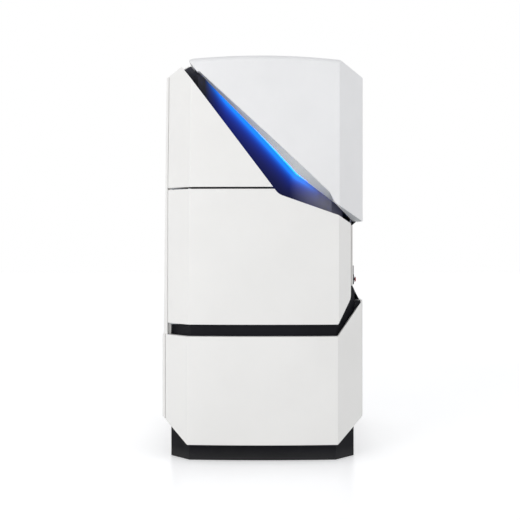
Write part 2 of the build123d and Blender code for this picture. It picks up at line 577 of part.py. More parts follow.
def make_liners():
    """Dark sheets behind the band and behind the thin gap."""
    sill_foot = (NICHE_X + SILL_REACH, LOWER_RIGHT_Z)
    band = [
        (-FAR, WAIST_Z - 25), (CORNER_LOW - 10, WAIST_Z - 25), (HALF - 8, LOWER_RIGHT_Z - 26), sill_foot,
        (NICHE_X, NICHE_SILL_Z), (NICHE_X - 40, NICHE_SILL_Z), (CORNER_LOW - 14, DOOR_FOOT_Z + 25),
        (-FAR, DOOR_FOOT_Z + 25),
    ]
    hinge_room = rod(40, (HINGE_X, HINGE_Y, DOOR_FOOT_Z - 3), (HINGE_X, HINGE_Y, SLIT_LOW_Z + 2))
    sheet = liner(elevation_prism(band, HOOD_Y - 10, FRONT_SEAM_Y)) - hinge_room
    arm_room = block(-FAR, -POST_X, HOOD_Y, 0, ARM_LOW_Z - 1, ARM_LOW_Z + ARM + 1)
    sheet -= arm_room
    slit = [(-FAR, SLIT_Z - 28), (rise_x(SLIT_Z) - 40, SLIT_Z - 28), (rise_x(SLIT_Z) - 40, SLIT_Z + 28), (-FAR, SLIT_Z + 28)]
    arm_room = block(-FAR, -POST_X, HOOD_Y, 0, ARM_HIGH_Z - 1, ARM_HIGH_Z + ARM + 1)
    slit_sheet = liner(elevation_prism(slit, HOOD_Y - 10, FRONT_SEAM_Y)) - hinge_room - arm_room
    save("gap_liners", [sheet, slit_sheet])


def channel_points():
    """Outline of the recess channel: the visible edges, then the edge hidden under the hood."""
    reach = CHANNEL_UNDER / sqrt(2)
    under = [(x + reach, z + reach) for x, z in (HOOD_INNER[-1], HOOD_INNER[1], HOOD_INNER[0])]
    right_z = HOOD_FOOT_Z + CHANNEL_UNDER
    top_x = under[-1][0] - (OVER - under[-1][1]) / tan(radians(RECESS_RISE))
    return [RISE_TOP, RECESS_KNEE, FALL_CORNER, FALL_END, (DOOR_RIGHT_X, right_z), *under, (top_x, OVER)]


def make_channel():
    """The recess between the covers, with the light bar on its floor behind the hood's edge."""
    points = channel_points()
    y0, y1 = HOOD_Y - 10, FRONT_SEAM_Y
    inner = elevation_prism(points, y0, y1, KNEES)
    outer = elevation_prism(points, y0, y1, KNEES, grow=LINER)
    back = CHANNEL_DEPTH + LINER
    channel = (envelope(CHANNEL_DEPTH) - envelope(back)) & outer
    channel += (envelope(TRAY) - envelope(back)) & (outer - inner)
    foot_zone = block(DOOR_RIGHT_X - LINER, FAR, HOOD_Y, 0, 0, HOOD_FOOT_Z + HOOD_LIP)
    channel -= (envelope(0.0, HOOD_PROUD) - envelope(HOOD_LIP + 1, HOOD_PROUD)) & foot_zone
    lean = tan(radians(RECESS_RISE))
    gap_top = HOOD_TOP_PEAK[0] - (OVER - HOOD_TOP_PEAK[1]) / lean
    slot = [RISE_TOP, (rise_x(HOOD_TOP_PEAK[1]), HOOD_TOP_PEAK[1])]
    slot += [(HOOD_TOP_PEAK[0] - 3, HOOD_TOP_PEAK[1]), (gap_top - 3, OVER)]
    closing = (envelope(HOOD_PROUD) - envelope(back)) & elevation_prism(slot, y1 - LINER, y1)
    closing += (envelope(HOOD_LIP + 1) - envelope(back)) & block(-FAR, 0, y1 - LINER, y1, 0, OVER) & outer
    save("recess_channel", channel + closing)

    def strip(near, far):
        top, knee, end = (Vector(*p) for p in HOOD_INNER[:3])
        first = (knee - top).normalized()
        second = (end - knee).normalized()
        out_first, out_second = Vector(-first.Y, first.X), Vector(-second.Y, second.X)
        start = top + first * 90
        stop = end - second * 40
        bend = (out_first + out_second).normalized()
        path = [start + out_first * near, knee + bend * near, stop + out_second * near]
        path += [stop + out_second * far, knee + bend * far, start + out_first * far]
        return elevation_prism([(p.X, p.Y) for p in path], HOOD_Y, 0)

    lane = strip(18.0, 18.0 + BAR_WIDTH)
    save("light_bar", (envelope(CHANNEL_DEPTH - BAR_HEIGHT) - envelope(CHANNEL_DEPTH)) & lane)
    face = CHANNEL_DEPTH - BAR_HEIGHT
    save("light_diffuser", (envelope(face - DIFFUSER) - envelope(face)) & lane)


def tube_x(x0, x1, y, z0, high=TUBE):
    """Square tube along X, open at both ends."""
    outer = block(x0, x1, y - TUBE / 2, y + TUBE / 2, z0, z0 + high)
    wall = TUBE_WALL
    return outer - block(x0, x1, y - TUBE / 2 + wall, y + TUBE / 2 - wall, z0 + wall, z0 + high - wall)


def tube_y(x, y0, y1, z0, high=TUBE):
    """Square tube along Y, open at both ends."""
    outer = block(x - TUBE / 2, x + TUBE / 2, y0, y1, z0, z0 + high)
    wall = TUBE_WALL
    return outer - block(x - TUBE / 2 + wall, x + TUBE / 2 - wall, y0, y1, z0 + wall, z0 + high - wall)


BASE_TOP_Z = RAIL_Z + RAIL_HIGH
POST_TOP_Z = FRAME_TOP_Z - TUBE
POST_OUT = POST_X + TUBE / 2
CORNERS = [(x, y) for x in (-POST_X, POST_X) for y in (POST_FRONT_Y, POST_REAR_Y)]


def make_frame():
    """Base rails, four posts, deck rails and top rails, butt welded, and the base tray."""
    y_in = (POST_FRONT_Y + TUBE / 2, POST_REAR_Y - TUBE / 2)
    x_in = (TUBE / 2 - POST_X, POST_X - TUBE / 2)
    base = [tube_x(-POST_OUT, POST_OUT, y, RAIL_Z, RAIL_HIGH) for y in (POST_FRONT_Y, POST_REAR_Y)]
    base += [tube_y(x, *y_in, RAIL_Z, RAIL_HIGH) for x in (-POST_X, POST_X)]
    posts = []
    for x, y in CORNERS:
        outer = block(x - TUBE / 2, x + TUBE / 2, y - TUBE / 2, y + TUBE / 2, BASE_TOP_Z, POST_TOP_Z)
        bore = TUBE / 2 - TUBE_WALL
        posts.append(outer - block(x - bore, x + bore, y - bore, y + bore, BASE_TOP_Z, POST_TOP_Z))
    deck = [tube_y(x, *y_in, DECK_Z - TUBE) for x in (-POST_X, POST_X)]
    deck += [tube_x(*x_in, y, DECK_Z - TUBE) for y in (DECK_FRONT_Y, DECK_REAR_Y)]
    top = [tube_x(-POST_OUT, POST_OUT, y, POST_TOP_Z) for y in (POST_FRONT_Y, POST_REAR_Y)]
    top += [tube_y(x, *y_in, POST_TOP_Z) for x in (-POST_X, POST_X)]
    save("frame", base + posts + deck + top)
    tray = block(-POST_X, POST_X, y_in[0] + 5, y_in[1] - 5, BASE_TOP_Z, BASE_TOP_Z + BASE_TRAY)
    save("base_tray", tray)


def make_feet():
    """Four levelling feet: pad, stud and lock nut against the base rails."""
    feet = []
    for x, y in CORNERS:
        pad = turned([
            (0, 0), (FOOT_RADIUS, 0), (FOOT_RADIUS, FOOT_PAD * 0.6), (FOOT_RADIUS * 0.6, FOOT_PAD),
            (FOOT_STUD, FOOT_PAD + 6), (FOOT_STUD, RAIL_Z), (0, RAIL_Z),
        ], x, y)
        nut = Pos(x, y, RAIL_Z - FOOT_NUT_HIGH) * RegularPolygon(FOOT_NUT, 6)
        feet.append(pad + extrude(nut, FOOT_NUT_HIGH))
    save("levelling_feet", feet)


def make_brackets():
    """Blocks from the frame to the inner faces of the covers, liners and plinth."""
    half, width = 15.0, 40.0
    front = (-DEPTH, POST_FRONT_Y - TUBE / 2)
    low_skin, skin = envelope(SKIN, 0.0, True), envelope(SKIN)
    back = envelope(TRAY + LINER)
    channel_back = envelope(CHANNEL_DEPTH + LINER)
    pieces = []
    for side in (-1, 1):
        x0, x1 = sorted((side * (POST_X - half), side * (POST_X + half)))
        pieces.append(block(x0, x1, *front, 400, 440) & low_skin)
        pieces.append(block(x0, x1, *front, DOOR_FOOT_Z - 52, DOOR_FOOT_Z - 14) & back)
        pieces.append(block(x0, x1, *front, BASE_TOP_Z - 60, BASE_TOP_Z - 25) & plinth_block(-PLINTH_WALL))
        rear = (POST_REAR_Y + TUBE / 2, DEPTH)
        pieces.append(block(x0, x1, *rear, PLINTH_TOP_Z + 8, PLINTH_TOP_Z + 38) & low_skin)
        pieces.append(block(x0, x1, *rear, REAR_HEAD_Z + 20, REAR_HEAD_Z + 60) & skin)
        x0, x1 = sorted((side * (POST_X - 25), side * (POST_X + 5)))
        pieces.append(block(x0, x1, 0, width, FRAME_TOP_Z, OVER) & skin)
        x0, x1 = sorted((side * POST_OUT, side * DEPTH))
        inner = low_skin if side > 0 else skin
        pieces.append(block(x0, x1, POST_REAR_Y - 20, POST_REAR_Y + 20, 500, 540) & inner)
        pieces.append(block(x0, x1, POST_REAR_Y - 20, POST_REAR_Y + 20, 1700, 1740) & skin)
        pieces.append(block(x0, x1, POST_FRONT_Y - 10, POST_FRONT_Y + 20, 500, 540) & inner)
    pieces.append(block(-DEPTH, -POST_OUT, POST_FRONT_Y - 10, POST_FRONT_Y + 20, 1700, 1740) & skin)
    pieces.append(block(-POST_X - half, 10 - POST_X, *front, 1900, 1940) & skin)
    pieces.append(block(-POST_X - half, half - POST_X, *front, SLIT_Z - 24, SLIT_Z + 24) & back)
    pieces.append(block(POST_X - half, POST_X + half, *front, 1850, 1890) & envelope(HOOD_SKIN, HOOD_PROUD))
    pieces.append(block(POST_X - half, POST_X + half, *front, 1480, 1520) & channel_back)
    pieces.append(block(-330, -300, *front, POST_TOP_Z + 5, FRAME_TOP_Z - 5) & channel_back)
    wall_x = NICHE_X - NICHE_WALL
    pieces.append(block(POST_OUT, wall_x, POST_FRONT_Y - 10, POST_FRONT_Y + 20, 1300, 1340))
    save("cover_brackets", pieces)


def make_door_hinges():
    """Hinge arms of the service door and its two pins, and those of the rear doors."""
    low = hinge_arm(ARM_LOW_Z, ARM)
    low += rod(PIN + 4, (HINGE_X, HINGE_Y, ARM_LOW_Z), (HINGE_X, HINGE_Y, DOOR_FOOT_Z - LOOSE))
    low += rod(PIN, (HINGE_X, HINGE_Y, ARM_LOW_Z), (HINGE_X, HINGE_Y, DOOR_FOOT_Z + SKIN + 6))
    high = hinge_arm(ARM_HIGH_Z, ARM)
    high += rod(PIN, (HINGE_X, HINGE_Y, SLIT_LOW_Z - SKIN - 6), (HINGE_X, HINGE_Y, ARM_HIGH_Z + ARM))
    pieces = [low, high]
    for side in (-1, 1):
        x = side * REAR_HINGE_X
        foot, head = REAR_SILL_Z + SEAM / 2, REAR_HEAD_Z - SEAM / 2
        leg_x = sorted((side * (POST_X - 20), side * (POST_X + 20)))
        arm_x = sorted((side * (POST_X + 20), x + side * (PIN + 1)))
        for z, end in ((foot, 1), (head, -1)):
            gap = z - end * (SEAM - 1.4)
            z0, z1 = sorted((gap, z - end * LOOSE))
            arm = block(*leg_x, POST_REAR_Y + TUBE / 2, REAR_HINGE_Y + 6, z0, z1)
            arm += block(*arm_x, REAR_HINGE_Y - 27, REAR_HINGE_Y + 6, z0, z1)
            pieces.append(arm + rod(PIN, (x, REAR_HINGE_Y, z0), (x, REAR_HINGE_Y, z + end * (SKIN + 6))))
    save("door_hinges", pieces)


# Table, chamber and stage, all round one vertical beam axis
AXIS_Y = -100.0
TABLE_Z = 740.0
TABLE_HIGH = 100.0
TABLE_X = 380.0
TABLE_FRONT_Y, TABLE_REAR_Y = -440.0, 280.0
CHAMBER_Z = TABLE_Z + TABLE_HIGH
CHAMBER_HALF = 230.0
CHAMBER_HIGH = 400.0
CHAMBER_WALL = 35.0
CHAMBER_TOP_Z = CHAMBER_Z + CHAMBER_HIGH
LENS_BORE = 122.0
WINDOW = (150.0, 110.0)             # half sizes of the front opening
WINDOW_Z = CHAMBER_Z + 190.0
FLANGE = 28.0
TURBO_Z = CHAMBER_Z + 200.0
TURBO_BORE = 80.0

# Load lock on the right of the chamber
LOCK_Y = AXIS_Y
LOCK_Z = 1130.0
LOCK_HALF_Y, LOCK_HALF_Z = 110.0, 50.0      # clear opening
LOCK_WALL = 20.0
MOUTH_Y, MOUTH_Z = 160.0, 85.0
MOUTH_X = NICHE_X + 2.0
VALVE_X = CHAMBER_HALF
VALVE_DEEP = 60.0
SLOT_HALF_Z = 30.0
BLADE = 8.0
BLADE_TRAVEL = 70.0


def make_isolation():
    """Four air springs on the deck rails and the table plate on them."""
    springs = []
    high = TABLE_Z - DECK_Z
    for x in (-300, 300):
        for y in (DECK_FRONT_Y, DECK_REAR_Y):
            profile = [(0, DECK_Z), (75, DECK_Z), (75, DECK_Z + 16), (58, DECK_Z + 16)]
            profile += [(71, DECK_Z + high / 2), (58, TABLE_Z - 20), (66, TABLE_Z - 20), (66, TABLE_Z), (0, TABLE_Z)]
            springs.append(turned(profile, x, y))
    save("air_springs", springs)
    table = block(-TABLE_X, TABLE_X, TABLE_FRONT_Y, TABLE_REAR_Y, TABLE_Z, TABLE_Z + TABLE_HIGH)
    table = chamfer(table.edges().filter_by(Axis.Z), 30)
    save("table_plate", chamfer(table.faces().sort_by(Axis.Z)[-1].edges(), 4))


def make_chamber():
    """Vacuum chamber with ports for lens, load lock, turbo pump and front flange."""
    y0, y1 = AXIS_Y - CHAMBER_HALF, AXIS_Y + CHAMBER_HALF
    body = block(-CHAMBER_HALF, CHAMBER_HALF, y0, y1, CHAMBER_Z, CHAMBER_TOP_Z)
    body = fillet(body.edges().filter_by(Axis.Z), 20)
    wall = CHAMBER_WALL
    body -= block(
        wall - CHAMBER_HALF, CHAMBER_HALF - wall, y0 + wall, y1 - wall, CHAMBER_Z + wall, CHAMBER_TOP_Z - wall,
    )
    body -= rod(LENS_BORE, (0, AXIS_Y, CHAMBER_TOP_Z - wall), (0, AXIS_Y, CHAMBER_TOP_Z))
    wx, wz = WINDOW
    body -= block(-wx, wx, y0, y0 + wall, WINDOW_Z - wz, WINDOW_Z + wz)
    body -= block(0, DEPTH, LOCK_Y - LOCK_HALF_Y, LOCK_Y + LOCK_HALF_Y, LOCK_Z - SLOT_HALF_Z, LOCK_Z + SLOT_HALF_Z)
    body -= rod(TURBO_BORE, (0, y1 - wall, TURBO_Z), (0, y1, TURBO_Z))
    save("vacuum_chamber", body)
    lip = 30.0
    flange = block(-wx - lip, wx + lip, y0 - FLANGE, y0, WINDOW_Z - wz - lip, WINDOW_Z + wz + lip)
    flange = fillet(flange.edges().filter_by(Axis.Y), 14)
    flange -= rod(46, (0, y0 - FLANGE, WINDOW_Z), (0, y0, WINDOW_Z))
    ring = rod(66, (0, y0 - FLANGE - 12, WINDOW_Z), (0, y0 - FLANGE, WINDOW_Z))
    flange += ring - rod(50, (0, y0 - FLANGE - 12, WINDOW_Z), (0, y0 - FLANGE, WINDOW_Z))
    for x in (-wx - lip / 2, -wx / 3, wx / 3, wx + lip / 2):
        for z in (WINDOW_Z - wz - lip / 2, WINDOW_Z + wz + lip / 2):
            flange += rod(8, (x, y0 - FLANGE - 9, z), (x, y0 - FLANGE, z))
    save("front_flange", flange)
    save("viewport_glass", rod(49.7, (0, y0 - FLANGE - 8, WINDOW_Z), (0, y0 - FLANGE, WINDOW_Z)))


STAGE_BASE_Z = CHAMBER_Z + CHAMBER_WALL
STAGE_STEP = 30.0
TABLE_RADIUS = 62.0


def make_stage():
    """Base with rails, X carriage, Y carriage and the turntable with its specimen holder."""
    base = block(-120, 120, AXIS_Y - 110, AXIS_Y + 110, STAGE_BASE_Z, STAGE_BASE_Z + 24)
    for y in (AXIS_Y - 80, AXIS_Y + 80):
        base += block(-120, 120, y - 9, y + 9, STAGE_BASE_Z + 24, STAGE_BASE_Z + 36)
    save("stage_base", base)
    z = STAGE_BASE_Z + 24 + LOOSE
    x_plate = block(-80, 80, AXIS_Y - 100, AXIS_Y + 100, z, z + STAGE_STEP)
    for y in (AXIS_Y - 80, AXIS_Y + 80):
        x_plate -= block(-80, 80, y - 9 - LOOSE, y + 9 + LOOSE, z, z + 12)
    for x in (-60, 60):
        x_plate += block(x - 8, x + 8, AXIS_Y - 100, AXIS_Y + 100, z + STAGE_STEP, z + STAGE_STEP + 10)
    save("stage_x_carriage", x_plate)
    z += STAGE_STEP + LOOSE
    y_plate = block(-78, 78, AXIS_Y - 62, AXIS_Y + 62, z, z + STAGE_STEP)
    for x in (-60, 60):
        y_plate -= block(x - 8 - LOOSE, x + 8 + LOOSE, AXIS_Y - 62, AXIS_Y + 62, z, z + 10)
    z += STAGE_STEP
    y_plate += rod(18, (0, AXIS_Y, z), (0, AXIS_Y, z + 14))
    save("stage_y_carriage", y_plate)
    turntable = turned([
        (18 + RUN, z + LOOSE), (TABLE_RADIUS, z + LOOSE), (TABLE_RADIUS, z + 12), (50, z + 16),
        (50, z + 24), (0, z + 24), (0, z + 14 + LOOSE), (18 + RUN, z + 14 + LOOSE),
    ], 0, AXIS_Y)
    holder = rod(32, (0, AXIS_Y, z + 24), (0, AXIS_Y, z + 32)) - rod(26, (0, AXIS_Y, z + 30), (0, AXIS_Y, z + 32))
    save("turntable", turntable + holder)


def make_load_lock():
    """Gate valve, lock chamber with mouth flange, and the door in the niche."""
    y0, y1 = LOCK_Y - LOCK_HALF_Y, LOCK_Y + LOCK_HALF_Y
    x0, x1 = VALVE_X, VALVE_X + VALVE_DEEP
    z_top, z_low = LOCK_Z + SLOT_HALF_Z + 40, LOCK_Z - SLOT_HALF_Z - BLADE_TRAVEL - 30
    valve = block(x0, x1, y0 - 40, y1 + 40, z_low, z_top)
    valve -= block(x0, x1, y0, y1, LOCK_Z - SLOT_HALF_Z, LOCK_Z + SLOT_HALF_Z)
    xm = (x0 + x1) / 2
    half = BLADE / 2 + LOOSE
    blade_low, blade_high = LOCK_Z - SLOT_HALF_Z - 8, LOCK_Z + SLOT_HALF_Z + 8
    valve -= block(xm - half, xm + half, y0 - 8, y1 + 8, blade_low - BLADE_TRAVEL - 2, blade_high + 2)
    valve -= rod(6 + RUN, (xm, LOCK_Y, z_low), (xm, LOCK_Y, blade_low + 12))
    cylinder = rod(22, (xm, LOCK_Y, CHAMBER_Z), (xm, LOCK_Y, z_low))
    cylinder -= rod(13, (xm, LOCK_Y, CHAMBER_Z + 8), (xm, LOCK_Y, z_low))
    save("gate_valve_body", valve + cylinder)
    blade = block(xm - BLADE / 2, xm + BLADE / 2, y0 - 7, y1 + 7, blade_low, blade_high)
    blade += rod(6, (xm, LOCK_Y, blade_low - 118), (xm, LOCK_Y, blade_low + 10))
    save("gate_blade", blade)
    w = LOCK_WALL
    lock = block(x1, MOUTH_X, y0 - w, y1 + w, LOCK_Z - LOCK_HALF_Z - w, LOCK_Z + LOCK_HALF_Z + w)
    lock += block(MOUTH_X - 26, MOUTH_X, LOCK_Y - MOUTH_Y, LOCK_Y + MOUTH_Y, LOCK_Z - MOUTH_Z, LOCK_Z + MOUTH_Z)
    lock -= block(x1, MOUTH_X, y0, y1, LOCK_Z - LOCK_HALF_Z, LOCK_Z + LOCK_HALF_Z)
    for end in (-1, 1):
        z0, z1 = sorted((LOCK_Z + end * 30, LOCK_Z + end * 52))
        lug = block(MOUTH_X - 1, LOCK_PIN_X, LOCK_PIN_Y - 8, LOCK_PIN_Y + 8, z0, z1)
        lock += lug + rod(8, (LOCK_PIN_X, LOCK_PIN_Y, z0), (LOCK_PIN_X, LOCK_PIN_Y, z1))
    lock += rod(PIN, (LOCK_PIN_X, LOCK_PIN_Y, LOCK_Z - 54), (LOCK_PIN_X, LOCK_PIN_Y, LOCK_Z + 54))
    save("load_lock", lock)
    x_in, x_out = MOUTH_X + LOOSE, MOUTH_X + 24
    door = block(x_in, x_out, LOCK_Y - MOUTH_Y + 10, LOCK_Y + MOUTH_Y - 22, LOCK_Z - 78, LOCK_Z + 78)
    door = fillet(door.edges().filter_by(Axis.X), 12)
    door = chamfer(door.faces().sort_by(Axis.X)[-1].edges(), 4)
    arm = block(LOCK_PIN_X - 8, LOCK_PIN_X + 8, LOCK_Y + MOUTH_Y - 30, LOCK_PIN_Y, LOCK_Z - 29.7, LOCK_Z + 29.7)
    door += arm + rod(8, (LOCK_PIN_X, LOCK_PIN_Y, LOCK_Z - 29.7), (LOCK_PIN_X, LOCK_PIN_Y, LOCK_Z + 29.7))
    door -= rod(PIN + RUN, (LOCK_PIN_X, LOCK_PIN_Y, LOCK_Z - 40), (LOCK_PIN_X, LOCK_PIN_Y, LOCK_Z + 40))
    y_knob = LOCK_Y - MOUTH_Y + 50
    door -= rod(8 + RUN, (x_in + 8, y_knob, LOCK_Z), (x_out, y_knob, LOCK_Z))
    save("load_lock_door", door)
    latch = rod(8, (x_in + 8 + LOOSE, y_knob, LOCK_Z), (x_out + 6, y_knob, LOCK_Z))
    latch += rod(19, (x_out + LOOSE, y_knob, LOCK_Z), (x_out + 12, y_knob, LOCK_Z))
    lever = block(x_out + 6, x_out + 18, y_knob - 9, y_knob + 9, LOCK_Z - 62, LOCK_Z + 14)
    latch += fillet(lever.edges().filter_by(Axis.X), 8)
    save("load_lock_latch", latch)


LOCK_PIN_X = MOUTH_X + 14.0
LOCK_PIN_Y = LOCK_Y + MOUTH_Y + 4.0

# Emergency stop on the niche wall, close behind the right facet
STOP_Y, STOP_Z = -563.0, 1071.0
STOP_HALF = 31.0
STOP_PLATE = 6.0
STOP_BORE = 5.0
STOP_TRAVEL = 5.0
STOP_RADIUS = 16.5


def make_emergency_stop():
    """Dark housing, sprung plunger and red mushroom cap."""
    x0 = NICHE_X
    plate = block(x0, x0 + STOP_PLATE, STOP_Y - STOP_HALF, STOP_Y + STOP_HALF, STOP_Z - STOP_HALF, STOP_Z + STOP_HALF)
    plate = fillet(plate.edges().filter_by(Axis.X), 5)
    collar = Plane.XZ * make_face(Polyline((0, x0), (14, x0), (14, x0 + 8), (11, x0 + 10), (0, x0 + 10), close=True).edges())
    collar = Pos(0, STOP_Y, STOP_Z) * Rot(0, 90, 0) * revolve(collar, Axis.Z)
    plate += collar
    plate -= rod(STOP_BORE + RUN, (x0, STOP_Y, STOP_Z), (x0 + 20, STOP_Y, STOP_Z))
    save("stop_housing", plate)
    tip = x0 + 20
    save("stop_plunger", rod(STOP_BORE, (x0 + 1 + STOP_TRAVEL, STOP_Y, STOP_Z), (tip, STOP_Y, STOP_Z)))
    start = x0 + 10 + STOP_TRAVEL + LOOSE
    profile = [
        (STOP_BORE + RUN, start), (STOP_RADIUS - 2.5, start), (STOP_RADIUS, start + 1.5), (STOP_RADIUS, start + 4),
        (STOP_RADIUS - 5, start + 8), (0, start + 9.4), (0, tip + LOOSE),
        (STOP_BORE + RUN, tip + LOOSE),
    ]
    face = Plane.XZ * make_face(Polyline(*profile, close=True).edges())
    save("stop_cap", Pos(0, STOP_Y, STOP_Z) * Rot(0, 90, 0) * revolve(face, Axis.Z))


SPLITTER_Z = CHAMBER_TOP_Z + 160.0
SPLITTER_HIGH = 150.0
SOURCE_Z = SPLITTER_Z + SPLITTER_HIGH + 340.0
TILT = 40.0                         # of the projection column, in degrees
TILT_X = -150.0
COLUMN_RINGS = 2
COLUMN_PITCH = 156.0
COLUMN_TUBE = 62.0


def make_column():
    """Objective lens, beam splitter, illumination column, electron source, projection column."""
    z = CHAMBER_TOP_Z
    save("objective_lens", turned([
        (0, z - 90), (14, z - 90), (60, z - 30), (LENS_BORE - 4, z - 20), (LENS_BORE - 4, z), (150, z), (150, z + 18),
        (120, z + 24), (120, SPLITTER_Z - 26), (100, SPLITTER_Z - 14), (100, SPLITTER_Z), (0, SPLITTER_Z),
    ], 0, AXIS_Y))
    z0, z1 = SPLITTER_Z, SPLITTER_Z + SPLITTER_HIGH
    splitter = block(-125, 125, AXIS_Y - 150, AXIS_Y + 150, z0, z1)
    splitter = chamfer(splitter.edges().filter_by(Axis.Z), 35)
    port = Pos(TILT_X, AXIS_Y, z1 - 52) * Rot(0, -TILT, 0) * Cylinder(62, 90)
    save("beam_splitter", splitter + port)
    rings = [(0, z1), (84, z1), (84, z1 + 16)]
    for i in range(COLUMN_RINGS):
        z = z1 + 16 + i * COLUMN_PITCH
        rings += [(COLUMN_TUBE, z), (COLUMN_TUBE, z + COLUMN_PITCH - 18), (76, z + COLUMN_PITCH - 18), (76, z + COLUMN_PITCH)]
    rings += [(72, SOURCE_Z - 8), (72, SOURCE_Z), (0, SOURCE_Z)]
    save("illumination_column", turned(rings, 0, AXIS_Y))
    z = SOURCE_Z
    save("electron_source", turned([
        (0, z), (104, z), (104, z + 20), (84, z + 24), (84, z + 130), (70, z + 156), (34, z + 172), (34, z + 200),
        (22, z + 204), (0, z + 204),
    ], 0, AXIS_Y))
    tube = [(0, 45), (70, 45), (70, 60), (52, 60), (52, 274), (72, 274), (72, 290), (0, 290)]
    detector = [(0, 290), (72, 290), (72, 306), (60, 310), (60, 380), (48, 392), (0, 392)]
    for name, profile in (("projection_column", tube), ("multi_detector", detector)):
        face = Plane.XZ * make_face(Polyline(*profile, close=True).edges())
        save(name, Pos(TILT_X, AXIS_Y, z1 - 52) * Rot(0, -TILT, 0) * revolve(face, Axis.Z))


LINE_Y = 396.0                      # where the backing line comes down, in front of the rack


def make_pumps():
    """Ion pumps beside the column, turbo pump behind the chamber, backing line to the exhaust port."""
    ions = []
    for ring in range(COLUMN_RINGS):
        z = SPLITTER_Z + SPLITTER_HIGH + 16 + (ring + 0.5) * COLUMN_PITCH
        body = block(190, 350, AXIS_Y - 60, AXIS_Y + 60, z - 60, z + 60)
        body = chamfer(body.edges().filter_by(Axis.X), 12)
        body += rod(26, (0, AXIS_Y, z), (192, AXIS_Y, z)) + rod(42, (176, AXIS_Y, z), (190, AXIS_Y, z))
        ions.append(body.cut(rod(COLUMN_TUBE, (0, AXIS_Y, z - 30), (0, AXIS_Y, z + 30))).solids().sort_by(Axis.X)[-1])
    save("ion_pumps", ions)
    y = AXIS_Y + CHAMBER_HALF
    face = Plane.XY * make_face(Polyline(
        (0, 0), (110, 0), (110, 20), (92, 20), (92, 150), (100, 154), (100, 176), (78, 180), (78, 214), (0, 214),
        close=True,
    ).edges())
    pump = Pos(0, y, TURBO_Z) * revolve(face, Axis.Y)
    port_y = y + 197
    pump += rod(22, (0, port_y, TURBO_Z), (0, port_y, TURBO_Z - 96)) + rod(30, (0, port_y, TURBO_Z - 102), (0, port_y, TURBO_Z - 92))
    save("turbo_pump", pump)
    top = TURBO_Z - 102
    route = [(0, port_y, top), (0, port_y, 700), (0, LINE_Y, 620), (0, LINE_Y, PORT_Z), (EXHAUST_X, LINE_Y, PORT_Z)]
    route.append((EXHAUST_X, BACK_Y - 46 - LOOSE, PORT_Z))
    line = FilletPolyline(*route, radius=50)
    start = Plane(origin=route[0], z_dir=(0, 0, -1))
    save("backing_line", sweep(start * Circle(18), path=line))


RACK_X = 285.0
RACK_Y = (430.0, 590.0)
RACK_POST = 30.0
RACK_UNITS = [
    ("power_supply", 266), ("high_voltage_supply", 222), ("column_controller", 178), ("stage_controller", 133),
    ("vacuum_controller", 178), ("detector_electronics", 266), ("image_computer", 178),
]
RACK_GAP = 18.0


def make_rack():
    """Rack rails on the base tray, and the units whose ears seat on the rear pair of rails."""
    z0 = BASE_TOP_Z + BASE_TRAY
    z_top = z0 + sum(h + RACK_GAP for _, h in RACK_UNITS) + 40
    rails = []
    for x in (-RACK_X, RACK_X):
        for y in RACK_Y:
            rails.append(block(x - 15, x + 15, y - 15, y + 15, z0, z_top))
    save("rack_rails", rails)
    z = z0 + RACK_GAP
    units = []
    y_face = RACK_Y[1] + RACK_POST / 2
    for _, high in RACK_UNITS:
        inner = RACK_X - RACK_POST / 2 - 1
        unit = block(-inner, inner, RACK_Y[0] - 10, y_face, z + 2, z + high - 2)
        panel = block(-RACK_X - 12, RACK_X + 12, y_face, y_face + 5, z, z + high)
        for i in range(int(high // 44)):
            slot_z = z + 30 + i * 40
            panel -= block(-170, 170, y_face + 1.5, y_face + 5, slot_z - 6, slot_z + 6)
        for x in (-225, 225):
            grip = block(x - 5, x + 5, y_face + 5, y_face + 30, z + 20, z + high - 20)
            grip -= block(x - 5, x + 5, y_face + 5, y_face + 21, z + 29, z + high - 29)
            panel += grip
        units.append(unit + panel)
        z += high + RACK_GAP
    save("rack_units", units)


FAN_X, FAN_Y = 170.0, VENT_Y
FAN_TRAY = 6.0
FAN_RADIUS = 104.0
FAN_DEEP = 62.0
BLADES = 7


def make_fans():
    """Tray across the top rails with two fan frames and their rotors under the roof vent."""
    z0 = FRAME_TOP_Z
    tray = block(-POST_X, POST_X, FAN_Y - 140, FAN_Y + 140, z0, z0 + FAN_TRAY)
    frames = []
    for side in (-1, 1):
        x = side * FAN_X
        tray -= rod(FAN_RADIUS, (x, FAN_Y, z0), (x, FAN_Y, z0 + FAN_TRAY))
        z = z0 + FAN_TRAY
        frame = block(x - 118, x + 118, FAN_Y - 118, FAN_Y + 118, z, z + FAN_DEEP)
        frame = fillet(frame.edges().filter_by(Axis.Z), 14) - rod(FAN_RADIUS, (x, FAN_Y, z), (x, FAN_Y, z + FAN_DEEP))
        frame += rod(44, (x, FAN_Y, z), (x, FAN_Y, z + 12))
        frame += block(x - 110, x + 110, FAN_Y - 6, FAN_Y + 6, z, z + 8)
        frame += block(x - 6, x + 6, FAN_Y - 110, FAN_Y + 110, z, z + 8)
        frame += rod(10, (x, FAN_Y, z), (x, FAN_Y, z + 40))
        frames.append(frame)
        hub = turned([
            (10 + RUN, z + 12 + LOOSE), (42, z + 12 + LOOSE), (42, z + 50), (36, z + 56), (0, z + 56),
            (0, z + 40 + LOOSE), (10 + RUN, z + 40 + LOOSE),
        ], x, FAN_Y)
        for i in range(BLADES):
            blade = Pos(68, 0, 0) * Rot(side * 35, 0, 0) * Box(60, 3, 38)
            hub += Pos(x, FAN_Y, z + 33) * Rot(0, 0, i * 360 / BLADES) * blade
        save("fan_rotor_left" if side < 0 else "fan_rotor_right", hub)
    save("fan_frames", frames + [tray])


